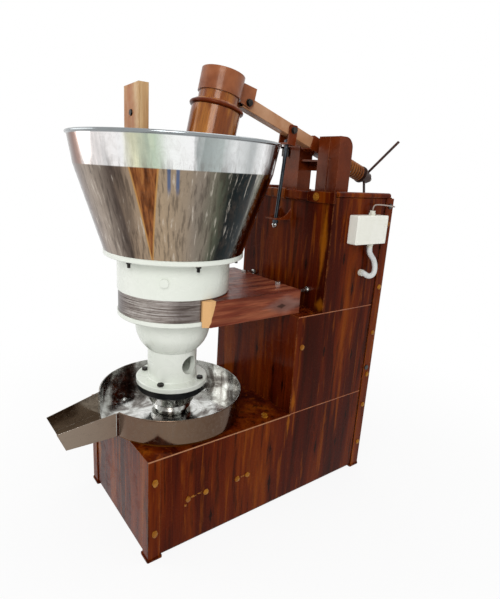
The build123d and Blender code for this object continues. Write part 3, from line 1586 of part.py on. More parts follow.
# Gearbox: open housing and cover, with bores for the shafts and their bearings
gearbox_y = (gearbox_front + gearbox_back) / 2
gearbox_length = gearbox_back - gearbox_front
with BuildPart() as gearbox_housing:
    with BuildSketch(Plane.XY.offset(gearbox_bottom)):
        with Locations((0, gearbox_y)):
            Rectangle(2 * gearbox_x, gearbox_length)
    extrude(amount=gearbox_top - gearbox_bottom)
    with BuildSketch(Plane.XY.offset(gearbox_bottom + gearbox_wall)):
        with Locations((0, gearbox_y)):
            Rectangle(2 * (gearbox_x - gearbox_wall), gearbox_length - 2 * gearbox_wall)
    extrude(amount=gearbox_top - gearbox_bottom - gearbox_wall, mode=Mode.SUBTRACT)
    with BuildSketch(Plane.YZ):
        with Locations((worm_y, gear_z)):
            Circle(bearing_outer)
    extrude(amount=gearbox_x, both=True, mode=Mode.SUBTRACT)
gearbox_housing.part.label = "gearbox_housing"
export_step(gearbox_housing.part, "parts/gearbox_housing.step")

with BuildPart() as gearbox_cover:
    with BuildSketch(Plane.XY.offset(gearbox_top)):
        with Locations((0, gearbox_y)):
            Rectangle(2 * gearbox_x, gearbox_length)
        with Locations((0, mortar_y)):
            Circle(shaft_radius + running, mode=Mode.SUBTRACT)
    extrude(amount=gearbox_wall)
gearbox_cover.part.label = "gearbox_cover"
export_step(gearbox_cover.part, "parts/gearbox_cover.step")

with BuildPart() as worm_wheel:
    with BuildSketch(Plane.XY.offset(gear_z - wheel_width / 2)):
        with Locations((0, mortar_y)):
            Circle(wheel_radius)
            Circle(shaft_radius, mode=Mode.SUBTRACT)
            with PolarLocations(wheel_radius, wheel_teeth):
                Rectangle(2 * tooth_depth, tooth_gap, mode=Mode.SUBTRACT)
    extrude(amount=wheel_width)
worm_wheel.part.label = "worm_wheel"
export_step(worm_wheel.part, "parts/worm_wheel.step")

# Input shaft with the worm, its thread drawn as rings of the same pitch
worm_pitch = 2 * pi * wheel_radius / wheel_teeth
pulley_end = pulley_x + pulley_width / 2
with BuildPart() as worm_shaft:
    with BuildSketch(Plane.YZ.offset(-worm_length / 2)):
        with Locations((worm_y, gear_z)):
            Circle(worm_radius)
    extrude(amount=worm_length)
    for groove in range(int(worm_length / worm_pitch)):
        groove_x = (groove + 0.5) * worm_pitch - worm_length / 2
        with BuildSketch(Plane.YZ.offset(groove_x)):
            with Locations((worm_y, gear_z)):
                Circle(worm_radius + 1)
                Circle(worm_radius - worm_groove, mode=Mode.SUBTRACT)
        extrude(amount=worm_pitch / 4, both=True, mode=Mode.SUBTRACT)
    with BuildSketch(Plane.YZ.offset(input_start)):
        with Locations((worm_y, gear_z)):
            Circle(input_radius)
    extrude(amount=pulley_end + shaft_tip - input_start)
worm_shaft.part.label = "worm_shaft"
export_step(worm_shaft.part, "parts/worm_shaft.step")

belt_xs = (pulley_x - belt_spacing / 2, pulley_x + belt_spacing / 2)


def pulley(centre_y, centre_z, radius, bore):
    """Pulley with one groove for each belt, its axis along X."""
    with BuildPart() as wheel:
        with BuildSketch(Plane.YZ.offset(pulley_x - pulley_width / 2)):
            with Locations((centre_y, centre_z)):
                Circle(radius)
        extrude(amount=pulley_width)
        for belt_x in belt_xs:
            with BuildSketch(Plane.YZ.offset(belt_x)):
                with Locations((centre_y, centre_z)):
                    Circle(radius + 1)
                    Circle(radius - belt_depth - fit, mode=Mode.SUBTRACT)
            extrude(amount=belt_width / 2 + fit, both=True, mode=Mode.SUBTRACT)
        if bore:
            with BuildSketch(Plane.YZ.offset(pulley_x - pulley_width / 2)):
                with Locations((centre_y, centre_z)):
                    Circle(bore)
            extrude(amount=pulley_width, mode=Mode.SUBTRACT)
        else:
            with BuildSketch(Plane.YZ.offset(motor_start + motor_shaft_sink)):
                with Locations((centre_y, centre_z)):
                    Circle(motor_shaft_radius)
            extrude(amount=pulley_end + shaft_tip - motor_start - motor_shaft_sink)
    return wheel.part


gearbox_pulley = pulley(worm_y, gear_z, large_pulley_radius, input_radius)
gearbox_pulley.label = "gearbox_pulley"
export_step(gearbox_pulley, "parts/gearbox_pulley.step")

# The motor's pulley is one piece with the motor's shaft
motor_pulley = pulley(motor_y, motor_z, small_pulley_radius, 0)
motor_pulley.label = "motor_pulley"
export_step(motor_pulley, "parts/motor_pulley.step")


def belt_loop(inset):
    """Outline of a belt round both pulleys, a given depth inside their rims."""
    with BuildSketch(mode=Mode.PRIVATE) as loop:
        with Locations((worm_y, gear_z)):
            Circle(large_pulley_radius - inset)
        with Locations((motor_y, motor_z)):
            Circle(small_pulley_radius - inset)
        make_hull()
    return loop.sketch


belt_outside = belt_loop(0)
belt_inside = belt_loop(belt_depth)
with BuildPart() as belts:
    for belt_x in belt_xs:
        with BuildSketch(Plane.YZ.offset(belt_x)):
            add(belt_outside)
            add(belt_inside, mode=Mode.SUBTRACT)
        extrude(amount=belt_width / 2, both=True)
belts.part.label = "belts"
export_step(belts.part, "parts/belts.step")

# Motor: finned body on its feet, with a terminal box on top
motor_length = motor_end - motor_start
motor_core = motor_radius - motor_rib_height
with BuildPart() as motor_body:
    with BuildSketch(Plane.YZ.offset(motor_start)):
        with Locations((motor_y, motor_z)):
            Circle(motor_core)
    extrude(amount=motor_length)
    with BuildSketch(Plane.YZ.offset(motor_start + motor_bell)):
        with Locations((motor_y, motor_z)):
            Circle(motor_core + 1)
            with PolarLocations(motor_core, motor_ribs):
                Rectangle(2 * motor_rib_height, motor_rib)
            Circle(motor_core / 2, mode=Mode.SUBTRACT)
    extrude(amount=motor_length - motor_bell - motor_rib_end)
    with Locations((0, motor_y, motor_foot_z + motor_foot_plate / 2)):
        Box(motor_foot_length, 2 * motor_foot_half, motor_foot_plate)
    with Locations((0, motor_y, (motor_foot_z + motor_z) / 2)):
        Box(motor_saddle_length, motor_saddle_width, motor_z - motor_foot_z - motor_saddle_width)
    with Locations((0, motor_y, motor_z + motor_radius + terminal_box_rise)):
        Box(terminal_box_size, terminal_box_size, terminal_box_height)
    with BuildSketch(Plane.YZ.offset(motor_start)):
        with Locations((motor_y, motor_z)):
            Circle(motor_shaft_radius + running)
    extrude(amount=motor_length, mode=Mode.SUBTRACT)
motor_body.part.label = "motor_body"
export_step(motor_body.part, "parts/motor_body.step")

# Isolator box on the right side: body, lid with its screws
lid_x = skin_x + box_depth
with BuildPart() as isolator_box:
    with BuildSketch(Plane.YZ.offset(skin_x)):
        with Locations((box_y, box_z)):
            RectangleRounded(box_width, box_height, box_corner)
    extrude(amount=box_depth)
    with BuildSketch(Plane.YZ.offset(skin_x + sheet)):
        with Locations((box_y, box_z)):
            RectangleRounded(box_width - 2 * sheet, box_height - 2 * sheet, box_corner / 2)
    extrude(amount=box_depth, mode=Mode.SUBTRACT)
    with BuildSketch(Plane.YZ.offset(skin_x)):
        with Locations(*box_bolts):
            Circle(bolt_shank_radius + running)
    extrude(amount=sheet, mode=Mode.SUBTRACT)
isolator_box.part.label = "isolator_box"
export_step(isolator_box.part, "parts/isolator_box.step")

with BuildPart() as isolator_lid:
    with BuildSketch(Plane.YZ.offset(lid_x)):
        with Locations((box_y, box_z)):
            RectangleRounded(box_width, box_height, box_corner)
    extrude(amount=lid_depth)
    fillet(isolator_lid.faces().sort_by(Axis.X)[-1].edges(), lid_round)
    with BuildSketch(Plane.YZ.offset(lid_x + lid_depth)):
        with Locations((box_y, box_z)):
            with GridLocations(box_width - 2 * lid_screw_inset, box_height - 2 * lid_screw_inset, 2, 2):
                Circle(lid_screw_radius)
    extrude(amount=lid_screw_height, taper=20)
isolator_lid.part.label = "isolator_lid"
export_step(isolator_lid.part, "parts/isolator_lid.step")

conduit_x = skin_x + box_depth / 2 + sheet
box_top = box_z + box_height / 2
box_bottom = box_z - box_height / 2
with BuildPart() as cable_glands:
    for gland_y, gland_z, upward in (
        (wire_start_y, box_top, 1),
        (conduit_start_y, box_bottom, -1),
    ):
        with BuildSketch(Plane.XY.offset(gland_z)):
            with Locations((conduit_x, gland_y)):
                RegularPolygon(gland_radius + gland_flats, 6)
        extrude(amount=upward * gland_length / 2)
        with BuildSketch(Plane.XY.offset(gland_z + upward * gland_length / 2)):
            with Locations((conduit_x, gland_y)):
                Circle(gland_radius)
        extrude(amount=upward * gland_length / 2)
    with BuildSketch(Plane.YZ.offset(skin_x)):
        with Locations((conduit_end_y, conduit_end_z)):
            Circle(gland_radius + gland_flats)
    extrude(amount=panel_gland_depth)
    with BuildSketch(Plane.YZ.offset(half_width)):
        with Locations((wire_end_y, wire_end_z), (knob_y, knob_z)):
            Circle(gland_radius - running)
    extrude(amount=grommet_depth)
cable_glands.part.label = "cable_glands"
export_step(cable_glands.part, "parts/cable_glands.step")

# Grey conduit from the box's underside to the gland in the side panel
conduit_start_z = box_bottom - gland_length
with BuildPart() as conduit:
    with BuildLine() as conduit_path:
        Spline(
            (conduit_x, conduit_start_y, conduit_start_z),
            (conduit_x + 2, conduit_start_y + 30, conduit_start_z - 50),
            (conduit_x + 8, conduit_start_y + 45, conduit_start_z - 92),
            (conduit_x + 12, conduit_start_y + 30, conduit_end_z - 8),
            (conduit_x + 6, conduit_start_y - 3, conduit_end_z - 10),
            (skin_x + panel_gland_depth, conduit_end_y, conduit_end_z),
            tangents=((0, 0, -1), (-1, 0, 0)),
        )
    with BuildSketch(Plane.XY.offset(conduit_start_z)):
        with Locations((conduit_x, conduit_start_y)):
            Circle(conduit_radius)
    sweep(path=conduit_path.wires()[0])
conduit.part.label = "conduit"
export_step(conduit.part, "parts/conduit.step")

# Supply wire from the top gland to the grommet in the rear post
wire_start_z = box_top + gland_length
with BuildPart() as supply_wire:
    with BuildLine() as wire_path:
        Spline(
            (conduit_x, wire_start_y, wire_start_z),
            (conduit_x - 2, wire_start_y + 40, wire_end_z + 8),
            (half_width + grommet_depth, wire_end_y, wire_end_z),
            tangents=((0, 0, 1), (-1, 0, 0)),
        )
    with BuildSketch(Plane.XY.offset(wire_start_z)):
        with Locations((conduit_x, wire_start_y)):
            Circle(wire_radius)
    sweep(path=wire_path.wires()[0])
supply_wire.part.label = "supply_wire"
export_step(supply_wire.part, "parts/supply_wire.step")
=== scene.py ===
import math

import bmesh
import bpy
from mathutils import Matrix, Vector


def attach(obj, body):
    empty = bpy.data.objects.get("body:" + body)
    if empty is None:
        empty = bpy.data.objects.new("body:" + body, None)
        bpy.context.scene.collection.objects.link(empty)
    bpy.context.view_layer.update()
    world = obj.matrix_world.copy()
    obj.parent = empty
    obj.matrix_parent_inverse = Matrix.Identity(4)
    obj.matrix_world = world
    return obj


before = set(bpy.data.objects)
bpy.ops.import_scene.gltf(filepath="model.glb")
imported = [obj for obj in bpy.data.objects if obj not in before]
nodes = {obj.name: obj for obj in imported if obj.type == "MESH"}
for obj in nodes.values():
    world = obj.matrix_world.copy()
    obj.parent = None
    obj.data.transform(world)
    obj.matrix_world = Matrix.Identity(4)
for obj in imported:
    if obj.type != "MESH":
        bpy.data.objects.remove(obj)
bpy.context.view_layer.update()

# Places on the mill, in metres, as the source has them
MORTAR_AXIS = (0.0, -0.358)
CABINET_SIDE = 0.300
POST_SIDE = 0.305
PESTLE_LEAN = math.radians(11.72)
PESTLE_TOE = (0.0, -0.3658, 0.838)
ARM_SLOPE = math.radians(17.82)
TRUNNION = Vector((0.0, 0.380, 1.6121))
TRAY_FLOOR = 0.464
TOWER_TOP = 1.410
DECK_TOP = 0.445
TRAY_WALL = 0.303
HOPPER_KNEE = 1.476
HOPPER_RIM = 1.580
SPOUT_ROOT_Y = -0.6515
FRONT_BOLT_Y, REAR_BOLT_Y = -0.582, 0.590
BEAM_BOLT_Z = 0.214
ROD_FOOT = Vector((0.0, 0.166, 1.283))
ROD_TOP = Vector((0.0, 0.20197, 1.66933))
LID_FACE = (0.3472, 0.430, 1.267)
LID_SIZE = (0.165, 0.088, 1.0)
SEAM_START, SEAM_END = 0.080, 0.554
SEAM_HEIGHTS = (0.899, 0.443)
SEAM_RADIUS = 0.0022
SET_SCREW_REACH, SET_SCREW_HEIGHT = 0.0945, 0.534
SCREW_RING = 0.220
EAR_NEAR_X, EAR_FAR_X = 0.062, 0.187
EAR_FACES_Y = (0.340, 0.423)
BRACKET_SIDE, BRACKET_FACE_Y = 0.040, 0.2205
BRACKET_UNDER, BRACKET_WELD_FOOT, BRACKET_WELD_TOP = 1.2795, 1.286, 1.330
SPOUT_HALF, SPOUT_OFFSET = 0.100, 0.008
SPOUT_WELD_FOOT, SPOUT_WELD_TOP = 0.466, 0.560

# Painted reflections on the hopper. The reflected copper-brown flare's middle, half width and foot, then the
# two reflected blue lines:
# places round the axis are shares of a turn, and heights are in metres
BROWN_REFLECTION_TURN, BROWN_REFLECTION_HALF, BROWN_REFLECTION_FOOT = 0.3785, 0.0188, 1.172
BLUE_REFLECTION_TURNS = (0.4125, 0.4245)
BLUE_REFLECTION_FOOT, BLUE_REFLECTION_TOP = 1.385, 1.425

# Where the glands' white plastic gives way to the black rubber, how deep bare steel is scratched,
# and a flank of the tension screw's thread every 3 mm
RUBBER_FROM, RUBBER_BY = 0.515, 0.525
SCRATCH_DEPTH = 0.00005
FLANKS_PER_METRE = 1000.0 / 3.0


def hue(code):
    """A paint-chart colour as linear light."""
    parts = [int(code[i:i + 2], 16) / 255 for i in (0, 2, 4)]
    linear = [p / 12.92 if p <= 0.04045 else ((p + 0.055) / 1.055) ** 2.4 for p in parts]
    return (*linear, 1.0)


# Small tools for laying out a finish

def put(tree, kind, settings=None, **inputs):
    """Adds a node. An input is a plain value, or the socket that feeds it."""
    made = tree.nodes.new("ShaderNode" + kind)
    for name, value in (settings or {}).items():
        setattr(made, name, value)
    for name, value in inputs.items():
        feed(tree, made.inputs[name.replace("_", " ")], value)
    return made


def feed(tree, socket, value):
    if isinstance(value, bpy.types.NodeSocket):
        tree.links.new(value, socket)
    else:
        socket.default_value = value


def maths(tree, operation, first, second=0.0, clamp=False):
    made = put(tree, "Math", {"operation": operation, "use_clamp": clamp})
    feed(tree, made.inputs[0], first)
    feed(tree, made.inputs[1], second)
    return made.outputs[0]


def vectors(tree, operation, first, second=(0.0, 0.0, 0.0)):
    made = put(tree, "VectorMath", {"operation": operation})
    feed(tree, made.inputs[0], first)
    feed(tree, made.inputs[1], second)
    return made.outputs["Value" if operation in ("DOT_PRODUCT", "LENGTH") else "Vector"]


def tint(tree, amount, base, over, blend="MIX"):
    made = put(tree, "Mix", {"data_type": "RGBA", "blend_type": blend})
    feed(tree, made.inputs[0], amount)
    feed(tree, made.inputs[6], base)
    feed(tree, made.inputs[7], over)
    return made.outputs[2]


def span(tree, value, low, high, to_low=0.0, to_high=1.0, smooth=True):
    made = put(tree, "MapRange", {"interpolation_type": "SMOOTHSTEP" if smooth else "LINEAR"}, Value=value)
    for socket, number in zip(list(made.inputs)[1:5], (low, high, to_low, to_high)):
        socket.default_value = number
    return made.outputs[0]


def chart(tree, value, stops):
    """A colour ramp with (place, colour code) stops."""
    made = put(tree, "ValToRGB")
    feed(tree, made.inputs[0], value)
    ramp = made.color_ramp
    for place, code in stops[1:-1]:
        ramp.elements.new(place)
    for element, (place, code) in zip(ramp.elements, stops):
        element.position = place
        element.color = hue(code)
    return made.outputs[0]


def placed(tree, vector, at=(0, 0, 0), turn=(0, 0, 0)):
    """A pattern centred and turned on its piece."""
    made = put(tree, "Mapping", {"vector_type": "TEXTURE"}, Vector=vector)
    made.inputs["Location"].default_value = at
    made.inputs["Rotation"].default_value = turn
    return made.outputs[0]


def noise(tree, vector, scale, detail=3.0, rough=0.55, distort=0.0):
    made = put(tree, "TexNoise", Vector=vector, Scale=scale, Detail=detail, Roughness=rough,
               Distortion=distort)
    return made.outputs[0]


def group(name, takes, gives):
    """A shader node group with named inputs and outputs."""
    made = bpy.data.node_groups.new(name, "ShaderNodeTree")
    for label, value in takes:
        kind = "NodeSocketFloat" if isinstance(value, float) else "NodeSocketVector"
        socket = made.interface.new_socket(label, in_out="INPUT", socket_type=kind)
        socket.default_value = value
    for label, kind in gives:
        made.interface.new_socket(label, in_out="OUTPUT", socket_type=kind)
    entry = made.nodes.new("NodeGroupInput")
    exit_ = made.nodes.new("NodeGroupOutput")
    return made, entry.outputs, exit_.inputs


def use(tree, shared, **inputs):
    made = tree.nodes.new("ShaderNodeGroup")
    made.node_tree = shared
    for name, value in inputs.items():
        feed(tree, made.inputs[name.replace("_", " ")], value)
    return made.outputs


# Effects that several finishes share

def make_worn_and_highlit_edge():
    """Rounds the light on an edge and marks the edge for a finish's edge tone: rubbed paint, and where that
    tone is paler, a painted highlight.
    """
    tree, taken, given = group(
        "worn_and_highlit_edge", [("Vector", (0, 0, 0)), ("Round", 0.0015), ("Breakup", 60.0)],
        [("Rub_and_highlight", "NodeSocketFloat"), ("Normal", "NodeSocketVector")])
    rounded = put(tree, "Bevel", {"samples": 4}, Radius=taken["Round"]).outputs[0]
    flat = put(tree, "NewGeometry").outputs["Normal"]
    bend = maths(tree, "SUBTRACT", 1.0, vectors(tree, "DOT_PRODUCT", rounded, flat))
    patches = noise(tree, taken["Vector"], taken["Breakup"], 4.0, 0.65)
    rub_and_highlight = maths(tree, "MULTIPLY", span(tree, bend, 0.015, 0.16), span(tree, patches, 0.38, 0.62))
    feed(tree, given["Rub_and_highlight"], rub_and_highlight)
    feed(tree, given["Normal"], rounded)
    return tree


def make_weathering():
    """Cloudy tone, fine specks and handling smudges."""
    tree, taken, given = group(
        "weathering", [("Vector", (0, 0, 0)), ("Size", 1.0)],
        [("Cloud", "NodeSocketFloat"), ("Speck", "NodeSocketFloat"), ("Smudge", "NodeSocketFloat")])
    size = taken["Size"]
    cloud = noise(tree, taken["Vector"], maths(tree, "MULTIPLY", size, 5.0), 4.0, 0.6, 0.4)
    speck = noise(tree, taken["Vector"], maths(tree, "MULTIPLY", size, 260.0), 2.0, 0.7)
    smudge = noise(tree, taken["Vector"], maths(tree, "MULTIPLY", size, 22.0), 5.0, 0.7, 1.2)
    feed(tree, given["Cloud"], span(tree, cloud, 0.3, 0.7))
    feed(tree, given["Speck"], span(tree, speck, 0.62, 0.75))
    feed(tree, given["Smudge"], span(tree, smudge, 0.42, 0.68))
    return tree


def make_timber_grain():
    """Growth rings about the Z axis of the vector, and fine fibres along it."""
    tree, taken, given = group(
        "timber_grain", [("Vector", (0, 0, 0)), ("Ring", 0.008), ("Wander", 0.02)],
        [("Rings", "NodeSocketFloat"), ("Fibre", "NodeSocketFloat"), ("Pores", "NodeSocketFloat"),
         ("Bands", "NodeSocketFloat")])
    vector = taken["Vector"]
    long_way = vectors(tree, "MULTIPLY", vector, (1.0, 1.0, 0.11))
    wander = maths(tree, "MULTIPLY", maths(tree, "SUBTRACT", noise(tree, long_way, 9.0, 4.0, 0.55), 0.5),
                   taken["Wander"])
    across = put(tree, "SeparateXYZ", Vector=vector).outputs
    reach = maths(tree, "SQRT", maths(tree, "ADD", maths(tree, "MULTIPLY", across[0], across[0]),
                                      maths(tree, "MULTIPLY", across[1], across[1])))
    turns = maths(tree, "DIVIDE", maths(tree, "ADD", reach, wander), taken["Ring"])
    saw = maths(tree, "FRACT", turns)
    rings = maths(tree, "MULTIPLY", span(tree, saw, 0.0, 0.78), span(tree, saw, 0.82, 1.0, 1.0, 0.0))
    fine = vectors(tree, "MULTIPLY", vector, (1.0, 1.0, 0.022))
    feed(tree, given["Rings"], rings)
    feed(tree, given["Fibre"], noise(tree, fine, 420.0, 3.0, 0.6))
    feed(tree, given["Pores"], span(tree, noise(tree, fine, 900.0, 2.0, 0.6), 0.6, 0.72))
    feed(tree, given["Bands"], noise(tree, long_way, 26.0, 3.0, 0.6, 0.3))
    return tree


def make_knot():
    """A drawn-out diamond of dark grain round one place."""
    tree, taken, given = group(
        "knot", [("Vector", (0, 0, 0)), ("Centre", (0, 0, 0)), ("Reach", (0.02, 0.02, 0.05)), ("Warp", 0.35)],
        [("Heart", "NodeSocketFloat"), ("Halo", "NodeSocketFloat")])
    offset = vectors(tree, "DIVIDE", vectors(tree, "SUBTRACT", taken["Vector"], taken["Centre"]),
                     taken["Reach"])
    ragged = put(tree, "TexNoise", Vector=taken["Vector"], Scale=55.0, Detail=3.0).outputs[1]
    shift = vectors(tree, "SUBTRACT", ragged, (0.5, 0.5, 0.5))
    scaled = put(tree, "VectorMath", {"operation": "SCALE"}, Scale=taken["Warp"])
    feed(tree, scaled.inputs[0], shift)
    bent = vectors(tree, "ABSOLUTE", vectors(tree, "ADD", offset, scaled.outputs[0]))
    away = vectors(tree, "DOT_PRODUCT", bent, (1.0, 1.0, 1.0))
    feed(tree, given["Heart"], span(tree, away, 0.35, 0.75, 1.0, 0.0))
    feed(tree, given["Halo"], span(tree, away, 0.6, 2.2, 1.0, 0.0))
    return tree


def make_round_steel():
    """Sheet turned about a vertical axis: its place round the axis, upright streaks, lines and dents."""
    tree, taken, given = group(
        "round_steel", [("Vector", (0, 0, 0)), ("Upright", 0.05), ("Lines", 1.0)],
        [("Turn", "NodeSocketFloat"), ("Streak", "NodeSocketFloat"), ("Fine", "NodeSocketFloat"),
         ("Brush", "NodeSocketFloat"), ("Dent", "NodeSocketFloat")])
    parts = put(tree, "SeparateXYZ", Vector=taken["Vector"]).outputs
    angle = maths(tree, "ARCTAN2", parts[1], parts[0])
    flat = vectors(tree, "MULTIPLY", taken["Vector"], (1.0, 1.0, 0.0))
    bearing = vectors(tree, "NORMALIZE", flat)
    lift = put(tree, "CombineXYZ", Z=maths(tree, "MULTIPLY", parts[2], taken["Upright"])).outputs[0]
    leaning = vectors(tree, "ADD", bearing, lift)
    streak = noise(tree, leaning, 5.0, 6.0, 0.6, 0.15)
    round_way = put(tree, "CombineXYZ", X=maths(tree, "MULTIPLY", angle, 0.4),
                    Y=vectors(tree, "LENGTH", flat), Z=parts[2]).outputs[0]
    lined = vectors(tree, "MULTIPLY", round_way, (1.0, 60.0, 60.0))
    brush = noise(tree, lined, maths(tree, "MULTIPLY", taken["Lines"], 9.0), 4.0, 0.7)
    feed(tree, given["Turn"], maths(tree, "ADD", maths(tree, "DIVIDE", angle, 2 * math.pi), 0.5))
    feed(tree, given["Streak"], streak)
    feed(tree, given["Fine"], noise(tree, leaning, 24.0, 4.0, 0.6, 0.1))
    feed(tree, given["Brush"], brush)
    feed(tree, given["Dent"], noise(tree, taken["Vector"], 5.0, 2.0, 0.5))
    return tree


worn_and_highlit_edge = make_worn_and_highlit_edge()
weathering = make_weathering()
timber_grain = make_timber_grain()
knot = make_knot()
round_steel = make_round_steel()


def begin(name):
    """A new finish with its shader and the piece's own coordinates."""
    made = bpy.data.materials.new(name)
    made.use_nodes = True
    tree = made.node_tree
    shader = tree.nodes["Principled BSDF"]
    return made, tree, shader.inputs, put(tree, "TexCoord").outputs["Object"]


def relief(tree, skin, height, distance, strength, under):
    """Raises or sinks the surface by the height given, over the rounded edges."""
    made = put(tree, "Bump", Height=height, Distance=distance, Strength=strength, Normal=under)
    feed(tree, skin["Normal"], made.outputs[0])


def washed(tree, base, mask, amount, code):
    """Lays a tone over the base where the mask is strong."""
    return tint(tree, maths(tree, "MULTIPLY", mask, amount), base, hue(code))


def smudged_gloss(tree, skin, mask, clean, dull):
    """Roughness from clean to dull as the mask grows."""
    feed(tree, skin["Roughness"], span(tree, mask, 0.0, 1.0, clean, dull, False))


def strongest(tree, values):
    """The largest of several masks."""
    top = values[0]
    for value in values[1:]:
        top = maths(tree, "MAXIMUM", top, value)
    return top


# Finishes

def enamel(name, coat, deep, worn, rough=0.3, clear=0.1, peel=0.0002, rub_and_highlight=0.8, size=1.0, gloss=0.3,
           speck=0.25, sheen="ffffff"):
    """Painted steel or cast iron: cloudy coat, edges in the worn tone for rubbed paint and, where that tone
    is paler, a painted highlight, smudges and a little orange peel.
    """
    made, tree, skin, place = begin(name)
    air = use(tree, weathering, Vector=place, Size=size)
    edge = use(tree, worn_and_highlit_edge, Vector=place, Round=0.0016, Breakup=70.0)
    colour = tint(tree, air["Cloud"], hue(coat), hue(deep))
    colour = washed(tree, colour, air["Speck"], speck, deep)
    # Edges in the worn tone: rubbed paint, and where the tone is paler, a painted highlight.
    colour = washed(tree, colour, edge["Rub_and_highlight"], rub_and_highlight, worn)
    feed(tree, skin["Base Color"], colour)
    smudged_gloss(tree, skin, air["Smudge"], rough, rough + 0.16)
    skin["Specular IOR Level"].default_value = gloss
    skin["Specular Tint"].default_value = hue(sheen)
    skin["Coat Weight"].default_value = clear
    skin["Coat Roughness"].default_value = 0.08
    ripple = noise(tree, place, 170.0 * size, 3.0, 0.5)
    relief(tree, skin, ripple, peel, 1.0, edge["Normal"])
    return made


def bare_metal(name, light, dark, rough, along=(1, 1, 1), size=1.0):
    """Uncoated steel or iron: stains, specks, scratches that run one way and bright edges."""
    made, tree, skin, place = begin(name)
    air = use(tree, weathering, Vector=place, Size=size)
    edge = use(tree, worn_and_highlit_edge, Vector=place, Round=0.0008, Breakup=90.0)
    lines = noise(tree, vectors(tree, "MULTIPLY", place, along), 240.0 * size, 4.0, 0.7)
    colour = tint(tree, air["Cloud"], hue(light), hue(dark))
    colour = tint(tree, span(tree, lines, 0.5, 0.75), colour, hue(dark))
    colour = washed(tree, colour, edge["Rub_and_highlight"], 0.6, light)
    feed(tree, skin["Base Color"], colour)
    smudged_gloss(tree, skin, air["Smudge"], rough, rough + 0.18)
    skin["Metallic"].default_value = 1.0
    relief(tree, skin, lines, SCRATCH_DEPTH, 1.0, edge["Normal"])
    return made


def moulded(name, body, stained, rough=0.4, ribs=None, pull=0.0):
    """Moulded plastic or rubber with a fine texture, grime and, where asked, rings along it."""
    made, tree, skin, place = begin(name)
    air = use(tree, weathering, Vector=place, Size=1.0)
    edge = use(tree, worn_and_highlit_edge, Vector=place, Round=0.0012, Breakup=40.0)
    colour = tint(tree, maths(tree, "MULTIPLY", air["Cloud"], 0.4), hue(body), hue(stained))
    colour = washed(tree, colour, air["Smudge"], 0.25, stained)
    feed(tree, skin["Base Color"], colour)
    smudged_gloss(tree, skin, air["Smudge"], rough, rough + 0.2)
    fine = noise(tree, place, 900.0, 2.0, 0.6)
    if ribs:
        along = put(tree, "SeparateXYZ", Vector=place).outputs[2]
        wave = maths(tree, "SINE", maths(tree, "MULTIPLY", along, 2 * math.pi / ribs))
        fine = maths(tree, "ADD", fine, maths(tree, "MULTIPLY", wave, pull))
    relief(tree, skin, fine, 0.00012, 1.0, edge["Normal"])
    return made


def rolled_place(tree, place, upright=0.5, lines=1.0):
    """The vector about the mortar's axis and what round_steel makes of it."""
    centred = placed(tree, place, at=(*MORTAR_AXIS, 0.0))
    return use(tree, round_steel, Vector=centred, Upright=upright, Lines=lines)


